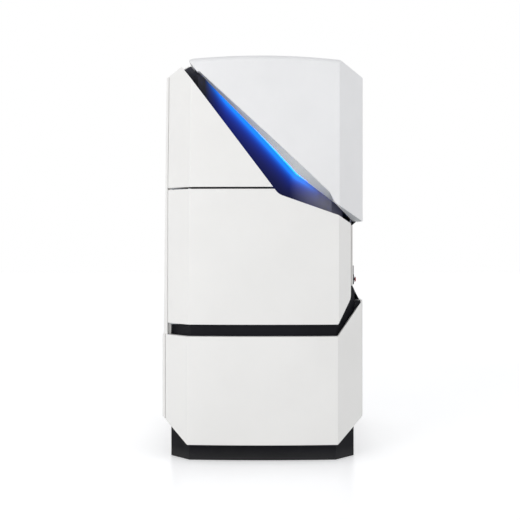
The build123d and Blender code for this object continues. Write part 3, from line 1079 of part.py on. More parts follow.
def make_lower_bay():
    """Isolation controller and coolant manifold on the base tray, behind the lower front cover."""
    z = BASE_TOP_Z + BASE_TRAY
    box = block(-360, -60, -430, -170, z, z + 240)
    manifold = block(80, 360, -400, -340, z, z + 60)
    for x in (120, 180, 240, 300):
        manifold += rod(14, (x, -370, z + 60), (x, -370, z + 130)) + rod(20, (x, -370, z + 86), (x, -370, z + 104))
    save("lower_bay_units", [chamfer(box.edges().filter_by(Axis.Y), 8), manifold])


make_plinth()
make_front_covers()
make_service_door()
make_hood()
make_side_panels()
make_roof()
make_rear()
make_rear_fittings()
make_niche()
make_liners()
make_channel()
make_frame()
make_feet()
make_brackets()
make_door_hinges()
make_isolation()
make_chamber()
make_stage()
make_load_lock()
make_emergency_stop()
make_column()
make_pumps()
make_rack()
make_fans()
make_lower_bay()
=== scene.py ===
"""Looks of the enclosed electron microscope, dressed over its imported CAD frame."""

import json
import logging
import math
from collections.abc import Callable, Iterable
from dataclasses import dataclass, field
from enum import Enum

import bpy
from mathutils import Matrix, Vector

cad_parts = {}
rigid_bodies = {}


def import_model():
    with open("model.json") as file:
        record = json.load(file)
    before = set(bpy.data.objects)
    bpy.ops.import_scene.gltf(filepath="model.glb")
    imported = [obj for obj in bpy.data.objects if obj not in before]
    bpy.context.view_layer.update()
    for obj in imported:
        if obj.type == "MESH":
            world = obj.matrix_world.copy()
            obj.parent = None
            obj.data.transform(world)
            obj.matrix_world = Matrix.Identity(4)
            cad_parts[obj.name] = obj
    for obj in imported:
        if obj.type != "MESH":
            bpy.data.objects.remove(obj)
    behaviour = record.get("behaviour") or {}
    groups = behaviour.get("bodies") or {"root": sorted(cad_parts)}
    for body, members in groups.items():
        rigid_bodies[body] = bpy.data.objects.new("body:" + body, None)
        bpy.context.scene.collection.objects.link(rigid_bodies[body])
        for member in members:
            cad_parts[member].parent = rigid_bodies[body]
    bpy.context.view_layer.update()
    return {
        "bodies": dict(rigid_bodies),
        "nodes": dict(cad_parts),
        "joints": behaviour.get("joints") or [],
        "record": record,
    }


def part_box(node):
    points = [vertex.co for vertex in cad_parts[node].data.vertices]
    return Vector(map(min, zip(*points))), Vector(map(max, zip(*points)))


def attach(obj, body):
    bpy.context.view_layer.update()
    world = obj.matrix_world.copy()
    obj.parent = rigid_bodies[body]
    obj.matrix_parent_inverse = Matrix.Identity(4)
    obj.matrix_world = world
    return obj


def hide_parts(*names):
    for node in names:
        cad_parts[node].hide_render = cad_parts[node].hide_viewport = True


logging.basicConfig(level=logging.INFO, format="%(message)s")
LOG = logging.getLogger("microscope")
MM = 0.001
UP = Vector((0, 0, 1))
TO_REAR = Vector((0, 1, 0))
TO_RIGHT = Vector((1, 0, 0))

# Copies of CAD nodes: what is merged, joined flat, rounded and shaded smooth.
MERGE = 0.02 * MM
FLAT_ANGLE = math.radians(0.6)
BEVEL_ANGLE = math.radians(32)
SMOOTH_ANGLE = math.radians(34)
FLAT_WEIGHT = 50

# A face looks along an axis when its normal has more than this share of it.
SQUARE_ON = 0.95

# Rounding of thin lips and liners, in millimetres.
LIP_EDGE = 0.4

# The parts of a noise's range that are spread over a drift's whole range.
CLOUD_BAND = (0.35, 0.65)
DRIFT_BAND = (0.3, 0.7)

WHITE_LIGHT = (1.0, 1.0, 1.0, 1.0)


def linear(colour: str) -> tuple[float, float, float, float]:
    """Turn an sRGB hex colour into Blender's linear colour.

    Args:
        colour: six hex digits, such as "e6e7e6".
    Returns:
        Linear red, green, blue and an alpha of one.
    """
    parts = [int(colour[i:i + 2], 16) / 255 for i in (0, 2, 4)]
    flat = [c / 12.92 if c <= 0.04045 else ((c + 0.055) / 1.055) ** 2.4 for c in parts]
    return flat[0], flat[1], flat[2], 1.0


def per_mm(size: float) -> float:
    """Noise scale for a pattern whose features are size millimetres wide."""
    return 1000.0 / size


def add(tree: bpy.types.NodeTree, kind: str, settings: dict[str, object] | None = None,
        **sockets: object) -> bpy.types.Node:
    """Add one node with its settings and links.

    Args:
        tree: the node tree to add to.
        kind: the node's type name.
        settings: attributes set on the node first.
        sockets: a value or an output per input, by the input's name with _ for spaces, or i and its number.
    Returns:
        The new node.
    """
    node = tree.nodes.new(kind)
    for key, value in (settings or {}).items():
        setattr(node, key, value)
    for key, value in sockets.items():
        numbered = key[0] == "i" and key[1:].isdigit()
        socket = node.inputs[int(key[1:])] if numbered else node.inputs[key.replace("_", " ")]
        if isinstance(value, bpy.types.NodeSocket):
            tree.links.new(value, socket)
        else:
            socket.default_value = value
    return node


def blank(name: str) -> tuple[bpy.types.Material, bpy.types.NodeTree, bpy.types.NodeSocket]:
    """Start a material: its tree is empty but for object coordinates.

    Args:
        name: the finish's name.
    Returns:
        The material, its tree and the coordinates' output.
    """
    material = bpy.data.materials.new(name)
    material.use_nodes = True
    tree = material.node_tree
    tree.nodes.clear()
    return material, tree, add(tree, "ShaderNodeTexCoord").outputs["Object"]


def close(tree: bpy.types.NodeTree, shader: bpy.types.Node) -> None:
    """Send a shader to the material's output."""
    add(tree, "ShaderNodeOutputMaterial", Surface=shader.outputs[0])


def clouded(tree: bpy.types.NodeTree, where: bpy.types.NodeSocket, dark: str, light: str,
            size: float) -> bpy.types.NodeSocket:
    """Colour that drifts slowly between two shades.

    Args:
        tree: the material's tree.
        where: coordinates.
        dark: darker shade, sRGB hex.
        light: lighter shade, sRGB hex.
        size: width of the drift in millimetres.
    Returns:
        The colour's output.
    """
    noise = add(tree, "ShaderNodeTexNoise", Vector=where, Scale=per_mm(size), Detail=4.0, Roughness=0.55)
    spread = add(tree, "ShaderNodeMapRange", Value=noise.outputs["Fac"], i1=CLOUD_BAND[0], i2=CLOUD_BAND[1])
    mix = add(tree, "ShaderNodeMix", {"data_type": "RGBA"}, Factor=spread.outputs[0], i6=linear(dark),
              i7=linear(light))
    return mix.outputs[2]


def rough_drift(tree: bpy.types.NodeTree, where: bpy.types.NodeSocket, low: float, high: float,
                size: float) -> bpy.types.NodeSocket:
    """Roughness that drifts between two values, as handling and cleaning leave it.

    Args:
        tree: the material's tree.
        where: coordinates.
        low: at the smoothest places.
        high: at the dullest places.
        size: width of the drift in millimetres.
    Returns:
        The roughness's output.
    """
    noise = add(tree, "ShaderNodeTexNoise", Vector=where, Scale=per_mm(size), Detail=6.0, Roughness=0.6)
    return add(tree, "ShaderNodeMapRange", Value=noise.outputs["Fac"], i1=DRIFT_BAND[0], i2=DRIFT_BAND[1],
               i3=low, i4=high).outputs[0]


def bump(tree: bpy.types.NodeTree, height: bpy.types.NodeSocket, depth: float,
         strength: float = 1.0) -> bpy.types.NodeSocket:
    """Normal from a height, whose full range is depth millimetres."""
    return add(tree, "ShaderNodeBump", Height=height, Distance=depth * MM, Strength=strength).outputs[0]


@dataclass(frozen=True)
class SprayedEnamel:
    """Two-part enamel sprayed on moulded or sheet covers: satin, with a faint orange peel."""

    name: str
    dark: str
    light: str
    roughness: float = 0.34
    cloud: float = 420.0
    handling: float = 160.0
    peel: float = 3.0
    depth: float = 0.02
    gloss: float = 0.5

    def build(self) -> bpy.types.Material:
        """Make the material; the peel of about 3 mm is what a sprayed panel shows against a lamp.

        Returns:
            The material.
        """
        material, tree, where = blank(self.name)
        colour = clouded(tree, where, self.dark, self.light, self.cloud)
        peel = add(tree, "ShaderNodeTexNoise", Vector=where, Scale=per_mm(self.peel), Detail=2.0)
        rough = rough_drift(tree, where, self.roughness - 0.03, self.roughness + 0.05, self.handling)
        normal = bump(tree, peel.outputs["Fac"], self.depth, 0.5)
        close(tree, add(tree, "ShaderNodeBsdfPrincipled", Base_Color=colour, Roughness=rough, Normal=normal,
                        IOR=1.5, Specular_IOR_Level=self.gloss))
        return material


@dataclass(frozen=True)
class GlowPaintedEnamel:
    """Dark enamel of the diagonal channel, with the blue light from behind the hood's edge painted on as
    emission by position, and painted reflections that lighten both ends.

    Edge points are X and Z in metres. A run is a pair of X values between which something changes.
    """

    name: str
    dark: str
    light: str
    edge: tuple[tuple[float, float], ...] = ((-0.376, 2.302), (0.190, 1.685), (0.398, 1.549))
    near: tuple[float, float, float] = (0.004, 0.17, 0.4)
    far: tuple[float, float, float] = (0.0, 0.02, 0.5)
    spill: tuple[float, float, float] = (0.003, 0.006, 0.07)
    near_reach: float = 13.0
    far_reach: float = 32.0
    start_run: tuple[float, float] = (-0.345, -0.22)
    end_run: tuple[float, float] = (0.20, 0.34)
    spill_run: tuple[float, float] = (-0.29, 0.2)
    spill_left: float = 0.1
    # Painted reflection: the ends of the channel are lightened towards this grey over the given X runs.
    pale: str = "7c7c86"
    painted_reflection_runs: tuple[tuple[float, float, float], ...] = ((0.16, 0.36, 1.0), (-0.28, -0.42, 0.3))
    roughness: tuple[float, float] = (0.36, 0.44)
    cloud: float = 420.0
    handling: float = 160.0
    peel: float = 3.0
    depth: float = 0.02
    gloss: float = 0.12
    glow: float = 1.4

    def distance(self, tree: bpy.types.NodeTree, where: bpy.types.NodeSocket) -> bpy.types.NodeSocket:
        """Distance from the hood's edge, which has two straight runs.

        Args:
            tree: the material's tree.
            where: coordinates.
        Returns:
            The distance's output, in metres.
        """
        runs = []
        for (x1, z1), (x2, z2) in zip(self.edge, self.edge[1:]):
            length = math.hypot(x2 - x1, z2 - z1)
            across = ((z2 - z1) / length, 0.0, (x1 - x2) / length)
            reach = add(tree, "ShaderNodeVectorMath", {"operation": "DOT_PRODUCT"}, i0=where, i1=across)
            runs.append(add(tree, "ShaderNodeMath", {"operation": "SUBTRACT"}, i0=reach.outputs["Value"],
                            i1=across[0] * x1 + across[2] * z1))
        return add(tree, "ShaderNodeMath", {"operation": "MAXIMUM"}, i0=runs[0].outputs[0],
                   i1=runs[1].outputs[0]).outputs[0]

    def fall(self, tree: bpy.types.NodeTree, distance: bpy.types.NodeSocket, reach: float,
             colour: tuple[float, float, float]) -> bpy.types.NodeSocket:
        """Painted light of one colour that falls off with distance.

        Args:
            tree: the material's tree.
            distance: metres from the lit edge.
            reach: millimetres over which it falls to about a third.
            colour: at the edge.
        Returns:
            The light as a vector's output.
        """
        steps = add(tree, "ShaderNodeMath", {"operation": "MULTIPLY"}, i0=distance, i1=-1.0 / (reach * MM))
        share = add(tree, "ShaderNodeMath", {"operation": "EXPONENT", "use_clamp": True}, i0=steps.outputs[0])
        return self.scaled(tree, colour, share.outputs[0])

    def scaled(self, tree: bpy.types.NodeTree, light: object,
               share: bpy.types.NodeSocket) -> bpy.types.NodeSocket:
        """A light, given as a colour or an output, times a share."""
        return add(tree, "ShaderNodeVectorMath", {"operation": "SCALE"}, i0=light, Scale=share).outputs[0]

    def ramp(self, tree: bpy.types.NodeTree, side: bpy.types.NodeSocket, run: tuple[float, float],
             first: float, last: float) -> bpy.types.NodeSocket:
        """A share that goes from first to last along a run of X."""
        return add(tree, "ShaderNodeMapRange", Value=side, i1=run[0], i2=run[1], i3=first, i4=last).outputs[0]

    def build(self) -> bpy.types.Material:
        """Make the material: the painted glow starts below the upper end and dies away towards the lower one,
        and painted reflections lighten both ends.

        Returns:
            The material.
        """
        material, tree, where = blank(self.name)
        colour = clouded(tree, where, self.dark, self.light, self.cloud)
        peel = add(tree, "ShaderNodeTexNoise", Vector=where, Scale=per_mm(self.peel), Detail=2.0)
        rough = rough_drift(tree, where, *self.roughness, self.handling)
        side = add(tree, "ShaderNodeSeparateXYZ", Vector=where).outputs["X"]
        # Painted reflection that lightens both ends of the channel.
        below, above = (self.ramp(tree, side, run[:2], 0.0, run[2]) for run in self.painted_reflection_runs)
        painted_highlight = add(tree, "ShaderNodeMath", {"operation": "MAXIMUM"}, i0=below, i1=above)
        colour = add(tree, "ShaderNodeMix", {"data_type": "RGBA"}, Factor=painted_highlight.outputs[0], i6=colour,
                     i7=linear(self.pale)).outputs[2]
        # Painted light: blue emission by distance from the hood's edge stands in for the glow of the hidden
        # lamp.
        distance = self.distance(tree, where)
        line = add(tree, "ShaderNodeVectorMath", {"operation": "ADD"},
                   i0=self.fall(tree, distance, self.near_reach, self.near),
                   i1=self.fall(tree, distance, self.far_reach, self.far))
        end = self.ramp(tree, side, self.end_run, 1.0, 0.0)
        fade = self.ramp(tree, side, self.spill_run, 1.0, self.spill_left)
        both = add(tree, "ShaderNodeVectorMath", {"operation": "ADD"},
                   i0=self.scaled(tree, line.outputs[0], end), i1=self.scaled(tree, self.spill, fade))
        glow = self.scaled(tree, both.outputs[0], self.ramp(tree, side, self.start_run, 0.0, 1.0))
        normal = bump(tree, peel.outputs["Fac"], self.depth, 0.5)
        close(tree, add(tree, "ShaderNodeBsdfPrincipled", Base_Color=colour, Roughness=rough, Normal=normal,
                        IOR=1.5, Specular_IOR_Level=self.gloss, Emission_Color=glow,
                        Emission_Strength=self.glow))
        return material


@dataclass(frozen=True)
class PowderCoat:
    """Baked powder on welded steel: matte, with a fine even texture."""

    name: str
    dark: str
    light: str
    roughness: float = 0.55
    cloud: float = 260.0
    handling: float = 90.0
    grain: float = 1.6
    depth: float = 0.05
    dust: float = 0.0
    dust_shade: str = "8f8f8c"
    dust_height: float = 0.07
    gloss: float = 0.5

    def build(self) -> bpy.types.Material:
        """Make the material; the texture is drawn at 1.6 mm, a little coarser than the real 0.5 mm.

        Returns:
            The material.
        """
        material, tree, where = blank(self.name)
        colour = clouded(tree, where, self.dark, self.light, self.cloud)
        if self.dust:
            height = add(tree, "ShaderNodeSeparateXYZ", Vector=where).outputs["Z"]
            share = add(tree, "ShaderNodeMapRange", Value=height, i1=0.0, i2=self.dust_height, i3=self.dust,
                        i4=0.0)
            colour = add(tree, "ShaderNodeMix", {"data_type": "RGBA"}, Factor=share.outputs[0], i6=colour,
                         i7=linear(self.dust_shade)).outputs[2]
        grain = add(tree, "ShaderNodeTexVoronoi", Vector=where, Scale=per_mm(self.grain))
        rough = rough_drift(tree, where, self.roughness - 0.05, self.roughness + 0.06, self.handling)
        normal = bump(tree, grain.outputs["Distance"], self.depth, 0.4)
        close(tree, add(tree, "ShaderNodeBsdfPrincipled", Base_Color=colour, Roughness=rough, Normal=normal,
                        IOR=1.5, Specular_IOR_Level=self.gloss))
        return material


class Tooling(Enum):
    """How a metal surface was finished, as the stretch of its marks along X, Y and Z."""

    BRUSHED_X = (0.02, 1.0, 1.0)
    TURNED = (0.06, 0.06, 1.0)
    BLASTED = (1.0, 1.0, 1.0)


@dataclass(frozen=True)
class WorkedMetal:
    """Bare aluminium or stainless steel with the marks of its tooling."""

    name: str
    dark: str
    light: str
    roughness: float
    tooling: Tooling
    mark: float = 1.5
    depth: float = 0.02

    def build(self) -> bpy.types.Material:
        """Make the material; marks of 1.5 mm are coarser than real ones so that a render shows them.

        Returns:
            The material.
        """
        material, tree, where = blank(self.name)
        stretch = add(tree, "ShaderNodeMapping", Vector=where, Scale=self.tooling.value)
        marks = add(tree, "ShaderNodeTexNoise", Vector=stretch.outputs[0], Scale=per_mm(self.mark),
                    Detail=4.0)
        tint = add(tree, "ShaderNodeMix", {"data_type": "RGBA"}, Factor=marks.outputs["Fac"],
                   i6=linear(self.dark), i7=linear(self.light))
        rough = add(tree, "ShaderNodeMapRange", Value=marks.outputs["Fac"], i1=DRIFT_BAND[0],
                    i2=DRIFT_BAND[1], i3=self.roughness - 0.06, i4=self.roughness + 0.08)
        normal = bump(tree, marks.outputs["Fac"], self.depth, 0.35)
        close(tree, add(tree, "ShaderNodeBsdfPrincipled", Base_Color=tint.outputs[2], Metallic=1.0,
                        Roughness=rough.outputs[0], Normal=normal))
        return material


@dataclass(frozen=True)
class FlakePaint:
    """Silver paint with fine metal flakes under a satin clear coat."""

    name: str
    dark: str
    light: str
    roughness: tuple[float, float] = (0.44, 0.52)
    handling: float = 120.0
    flake: float = 1.1
    tilt: float = 0.02
    metal: float = 0.45
    coat: float = 0.3

    def build(self) -> bpy.types.Material:
        """Make the material; each flake has its own tone and lies a little askew.

        Returns:
            The material.
        """
        material, tree, where = blank(self.name)
        flakes = add(tree, "ShaderNodeTexVoronoi", Vector=where, Scale=per_mm(self.flake))
        tone = add(tree, "ShaderNodeSeparateColor", Color=flakes.outputs["Color"])
        tint = add(tree, "ShaderNodeMix", {"data_type": "RGBA"}, Factor=tone.outputs[0], i6=linear(self.dark),
                   i7=linear(self.light))
        rough = rough_drift(tree, where, *self.roughness, self.handling)
        normal = bump(tree, tone.outputs[1], self.tilt, 0.3)
        close(tree, add(tree, "ShaderNodeBsdfPrincipled", Base_Color=tint.outputs[2], Metallic=self.metal,
                        Roughness=rough, Normal=normal, Coat_Weight=self.coat, Coat_Roughness=0.2))
        return material


@dataclass(frozen=True)
class MouldedPlastic:
    """Injection moulded ABS or polyamide with a spark eroded grain, or polished when grain is small."""

    name: str
    dark: str
    light: str
    roughness: float
    grain: float = 0.9
    depth: float = 0.04
    coat: float = 0.0
    cloud: float = 40.0
    handling: float = 25.0

    def build(self) -> bpy.types.Material:
        """Make the material.

        Returns:
            The material, ready for its pieces.
        """
        material, tree, where = blank(self.name)
        colour = clouded(tree, where, self.dark, self.light, self.cloud)
        grain = add(tree, "ShaderNodeTexNoise", Vector=where, Scale=per_mm(self.grain), Detail=3.0)
        rough = rough_drift(tree, where, self.roughness - 0.04, self.roughness + 0.06, self.handling)
        normal = bump(tree, grain.outputs["Fac"], self.depth, 0.5)
        close(tree, add(tree, "ShaderNodeBsdfPrincipled", Base_Color=colour, Roughness=rough, Normal=normal,
                        IOR=1.48, Coat_Weight=self.coat, Coat_Roughness=0.08))
        return material


@dataclass(frozen=True)
class Elastomer:
    """Black or grey rubber: dull, with a dusty bloom."""

    name: str
    dark: str
    light: str
    roughness: tuple[float, float] = (0.62, 0.8)
    cloud: float = 12.0
    handling: float = 30.0
    skin: float = 1.2
    depth: float = 0.05
    bloom: float = 0.08

    def build(self) -> bpy.types.Material:
        """Make the material.

        Returns:
            The material, ready for its pieces.
        """
        material, tree, where = blank(self.name)
        colour = clouded(tree, where, self.dark, self.light, self.cloud)
        skin = add(tree, "ShaderNodeTexNoise", Vector=where, Scale=per_mm(self.skin), Detail=5.0)
        normal = bump(tree, skin.outputs["Fac"], self.depth, 0.5)
        rough = rough_drift(tree, where, *self.roughness, self.handling)
        close(tree, add(tree, "ShaderNodeBsdfPrincipled", Base_Color=colour, Roughness=rough, Normal=normal,
                        IOR=1.52, Sheen_Weight=self.bloom))
        return material


@dataclass(frozen=True)
class LitAcrylic:
    """Opal acrylic with blue light behind it, brightest over each diode."""

    name: str
    colour: str
    strength: float
    pale: str = "3f8cff"
    pitch: float = 25.0

    def build(self) -> bpy.types.Material:
        """Make the material; the diodes stand about 25 mm apart, and the opal sheet blurs them.

        Returns:
            The material.
        """
        material, tree, where = blank(self.name)
        body = clouded(tree, where, self.colour, self.pale, self.pitch)
        close(tree, add(tree, "ShaderNodeBsdfPrincipled", Base_Color=body, Roughness=0.4, IOR=1.49,
                        Emission_Color=linear(self.colour), Emission_Strength=self.strength))
        return material


@dataclass(frozen=True)
class ClearGlass:
    """Thick leaded glass of the viewport: faint green, with light smears."""

    name: str
    tint: str
    roughness: tuple[float, float] = (0.02, 0.09)
    smear: float = 35.0
    clearness: float = 0.92

    def build(self) -> bpy.types.Material:
        """Make the material.

        Returns:
            The material, ready for its pieces.
        """
        material, tree, where = blank(self.name)
        rough = rough_drift(tree, where, *self.roughness, self.smear)
        close(tree, add(tree, "ShaderNodeBsdfPrincipled", Base_Color=linear(self.tint), Roughness=rough,
                        IOR=1.62, Transmission_Weight=self.clearness))
        return material


class Edge(Enum):
    """Rounding of a piece's edges, in millimetres."""

    AS_CUT = 0.0
    FINE = 0.5
    SHEET = 0.9
    COVER = 1.8


WHITE = SprayedEnamel("white_sprayed_enamel", "eeedea", "f1f0ed")
# The hood's white is a cooler, slightly greyer copy of the cabinet white: painted cool shade that stands in
# for the light from above.
HOOD_COOL_SHADE_WHITE = SprayedEnamel("hood_white_painted_cool_shade", "ebebeb", "efefef")
BLACK = SprayedEnamel("near_black_satin_enamel", "09090f", "101017", 0.5, gloss=0.14)
PLINTH = PowderCoat("plinth_black_powder_coat", "08080d", "0e0e14", 0.6, dust=0.08, gloss=0.14)
# The channel's enamel carries painted light: a blue glow as emission, and a painted reflection at both ends.
RECESS = GlowPaintedEnamel("recess_enamel_painted_blue_glow", "09090e", "101016")
SILVER = FlakePaint("bevel_silver_flake_paint", "b5b9bb", "c6c9cb")
FRAME_GREY = PowderCoat("frame_grey_powder_coat", "7d8186", "8a8e93")
UNIT_GREY = PowderCoat("instrument_light_grey_powder_coat", "b6babd", "c4c8cb", 0.5)
GRILLE = PowderCoat("grille_pale_grey_powder_coat", "c9cbcb", "d4d6d6", 0.48)
ALUMINIUM = WorkedMetal("milled_aluminium", "b4b6b8", "cfd1d3", 0.3, Tooling.BRUSHED_X)
STAINLESS = WorkedMetal("turned_stainless_steel", "9c9ea1", "bdbfc2", 0.26, Tooling.TURNED)
ZINC = WorkedMetal("zinc_plated_steel", "9fa2a6", "b9bcc0", 0.34, Tooling.BLASTED)
BLACK_ABS = MouldedPlastic("black_grained_abs", "141416", "1d1d20", 0.5)
RED_ABS = MouldedPlastic("red_polished_abs", "8a000a", "9c0410", 0.34, 0.6, 0.01, 0.1)
OPAL = LitAcrylic("opal_acrylic_lit_blue", "0a52ff", 8.0)
RUBBER = Elastomer("black_nitrile_rubber", "121213", "1c1c1e")
HOSE = Elastomer("grey_vacuum_hose_rubber", "4a4c50", "5a5c60")
GLASS = ClearGlass("leaded_viewport_glass", "dfeee8")
BUILT: dict[str, bpy.types.Material] = {}


def made(finish: object) -> bpy.types.Material:
    """The material of a finish, made once.

    Args:
        finish: one of the finishes above.
    Returns:
        Its material.
    """
    if finish.name not in BUILT:
        BUILT[finish.name] = finish.build()
    return BUILT[finish.name]


def deselect() -> None:
    """Leave nothing selected, in object mode."""
    if bpy.context.mode != "OBJECT":
        bpy.ops.object.mode_set(mode="OBJECT")
    bpy.ops.object.select_all(action="DESELECT")


def activate(piece: bpy.types.Object) -> None:
    """Select one piece alone and make it active.

    Args:
        piece: the object.
    """
    deselect()
    piece.select_set(True)
    bpy.context.view_layer.objects.active = piece


def apply_place(piece: bpy.types.Object) -> None:
    """Move a piece's place, turn and scale into its mesh."""
    activate(piece)
    bpy.ops.object.transform_apply(location=True, rotation=True, scale=True)


def cylinder(name: str, radius: float, depth: float, centre: Vector, axis: str = "Z",
             sides: int = 48) -> bpy.types.Object:
    """Start a round piece.

    Args:
        name: the object's name.
        radius: metres.
        depth: metres along the axis.
        centre: its middle.
        axis: X, Y or Z.
        sides: number of sides.
    Returns:
        The new object, its place applied.
    """
    deselect()
    turn = {"X": (0.0, math.pi / 2, 0.0), "Y": (-math.pi / 2, 0.0, 0.0), "Z": (0.0, 0.0, 0.0)}[axis]
    bpy.ops.mesh.primitive_cylinder_add(radius=radius, depth=depth, location=centre, rotation=turn,
                                        vertices=sides)
    piece = bpy.context.active_object
    piece.name = name
    apply_place(piece)
    return piece


def box(name: str, low: Vector, high: Vector) -> bpy.types.Object:
    """Start a box.

    Args:
        name: the object's name.
        low: its lowest corner.
        high: its highest corner.
    Returns:
        The new object, its place applied.
    """
    deselect()
    bpy.ops.mesh.primitive_cube_add(size=1.0, location=(low + high) / 2)
    piece = bpy.context.active_object
    piece.name = name
    piece.scale = high - low
    apply_place(piece)
    return piece


def edit_faces(piece: bpy.types.Object, test: Callable[[bpy.types.MeshPolygon], bool]) -> None:
    """Select the faces that pass a test and enter edit mode with them.

    Args:
        piece: the object.
        test: given a face, says whether it is wanted.
    """
    activate(piece)
    bpy.ops.object.mode_set(mode="EDIT")
    bpy.ops.mesh.select_mode(type="FACE")
    bpy.ops.mesh.select_all(action="DESELECT")
    bpy.ops.object.mode_set(mode="OBJECT")
    for face in piece.data.polygons:
        face.select = test(face)
    bpy.ops.object.mode_set(mode="EDIT")


def leave_edit() -> None:
    """Back to object mode."""
    bpy.ops.object.mode_set(mode="OBJECT")


def soften(piece: bpy.types.Object, width: float, segments: int = 2) -> None:
    """Round a piece's edges with an applied bevel, smooth its shading and keep its flat faces flat.

    Args:
        piece: the object.
        width: millimetres; zero leaves the edges and only smooths.
        segments: steps across the rounding.
    """
    activate(piece)
    if width:
        bevel = piece.modifiers.new("edge", "BEVEL")
        bevel.width = width * MM
        bevel.segments = segments
        bevel.limit_method = "ANGLE"
        bevel.angle_limit = BEVEL_ANGLE
        bevel.use_clamp_overlap = False
        bpy.ops.object.modifier_apply(modifier=bevel.name)
    bpy.ops.object.shade_smooth_by_angle(angle=SMOOTH_ANGLE)
    flat = piece.modifiers.new("flat_faces", "WEIGHTED_NORMAL")
    flat.mode = "FACE_AREA"
    flat.weight = FLAT_WEIGHT
    flat.keep_sharp = True
    bpy.ops.object.modifier_apply(modifier=flat.name)


def copy_of(node: str, name: str) -> bpy.types.Object:
    """A merged copy of a CAD node, ready to be shaped.

    Args:
        node: the CAD node's name.
        name: the copy's name.
    Returns:
        The copy, with doubles merged and flat faces joined.
    """
    source = FRAME["nodes"][node]
    deselect()
    piece = source.copy()
    piece.data = source.data.copy()
    piece.name = name
    piece.parent = None
    piece.hide_render = piece.hide_viewport = False
    for key in [k for k in piece.keys() if k.startswith("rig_")]:
        del piece[key]
    bpy.context.scene.collection.objects.link(piece)
    activate(piece)
    bpy.ops.object.mode_set(mode="EDIT")
    bpy.ops.mesh.select_all(action="SELECT")
    bpy.ops.mesh.remove_doubles(threshold=MERGE)
    bpy.ops.mesh.customdata_custom_splitnormals_clear()
    bpy.ops.mesh.dissolve_limited(angle_limit=FLAT_ANGLE)
    leave_edit()
    return piece


def paint(piece: bpy.types.Object, finish: object) -> None:
    """Give a piece one finish all over."""
    piece.data.materials.clear()
    piece.data.materials.append(made(finish))


def join(name: str, pieces: list[bpy.types.Object]) -> bpy.types.Object:
    """Make one object of several.

    Args:
        name: the joined object's name.
        pieces: the objects; the first one takes in the others.
    Returns:
        The joined object.
    """
    deselect()
    for piece in pieces:
        piece.select_set(True)
    bpy.context.view_layer.objects.active = pieces[0]
    bpy.ops.object.join()
    pieces[0].name = name
    return pieces[0]


def repeat(name: str, model: bpy.types.Object, places: Iterable[Matrix]) -> bpy.types.Object:
    """Copy one finished model to many places, each with its own mesh, and join the copies.

    Args:
        name: the joined object's name.
        model: modelled at the origin; it is removed.
        places: where each copy goes.
    Returns:
        The joined object.
    """
    copies = []
    for place in places:
        copy = model.copy()
        copy.data = model.data.copy()
        copy.data.transform(place)
        bpy.context.scene.collection.objects.link(copy)
        copies.append(copy)
    bpy.data.objects.remove(model)
    return join(name, copies)


FRAME: dict = {}


@dataclass
class SubAssembly:
    """A group of CAD nodes with their finishes, and the pieces added to them."""

    finishes: dict[str, tuple[object, Edge]] = field(default_factory=dict)

    def body_of(self, node: str) -> str:
        """Name of the body that a CAD node belongs to."""
        groups = FRAME["record"]["behaviour"]["bodies"]
        return next(body for body, members in groups.items() if node in members)

    def slot_of(self, node: str) -> str:
        """Name of the material slot of a CAD node."""
        return next(s["material_slot"] for s in FRAME["record"]["subparts"] if s["node"] == node)

    def dress(self) -> None:
        """Finish every node: as it is, or by a copy with rounded edges that replaces it."""
        for node, (finish, edge) in self.finishes.items():
            if edge is Edge.AS_CUT:
                paint(FRAME["nodes"][node], finish)
                continue
            piece = copy_of(node, f"{node}_finished")
            soften(piece, edge.value)
            paint(piece, finish)
            self.attach(piece, self.body_of(node), self.slot_of(node), node)

    def attach(self, piece: bpy.types.Object, body: str, slot: str, *nodes: str) -> None:
        """Let a piece ride on a body and hide the nodes that it stands for.

        Args:
            piece: the object.
            body: the body that carries it.
            slot: its material slot; not used.
            nodes: the CAD nodes that it replaces, if any.
        """
        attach(piece, body)
        if nodes:
            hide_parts(*nodes)
        LOG.info("%s rides on %s, %d faces", piece.name, body, len(piece.data.polygons))

    def build(self) -> None:
        """Dress the nodes; a sub-assembly with more pieces adds them after this."""
        self.dress()


@dataclass
class Screws:
    """Button head screws with a hexagon socket."""

    head: float = 7.0
    high: float = 3.2
    socket: float = 3.6
    socket_depth: float = 0.6
    edge: float = 0.5

    def model(self) -> bpy.types.Object:
        """Model one screw head at the origin, its top towards +Z.

        Returns:
            The screw head, with its finish.
        """
        high = self.high * MM
        screw = cylinder("screw", self.head * MM, high, UP * high / 2, sides=24)
        edit_faces(screw, lambda face: face.normal.z > 0.9)
        bpy.ops.mesh.inset(thickness=(self.head - self.socket) * MM)
        bpy.ops.mesh.extrude_region_move(TRANSFORM_OT_translate={"value": (0, 0, -high * self.socket_depth)})
        leave_edit()
        soften(screw, self.edge)
        paint(screw, STAINLESS)
        return screw

    def set_on(self, name: str, points: Iterable[Vector], facing: Vector) -> bpy.types.Object:
        """Set screws on a face.

        Args:
            name: the joined object's name.
            points: where each head sits.
            facing: the face's outward normal.
        Returns:
            All the heads as one object.
        """
        turn = UP.rotation_difference(facing).to_matrix().to_4x4()
        return repeat(name, self.model(), [Matrix.Translation(p) @ turn for p in points])


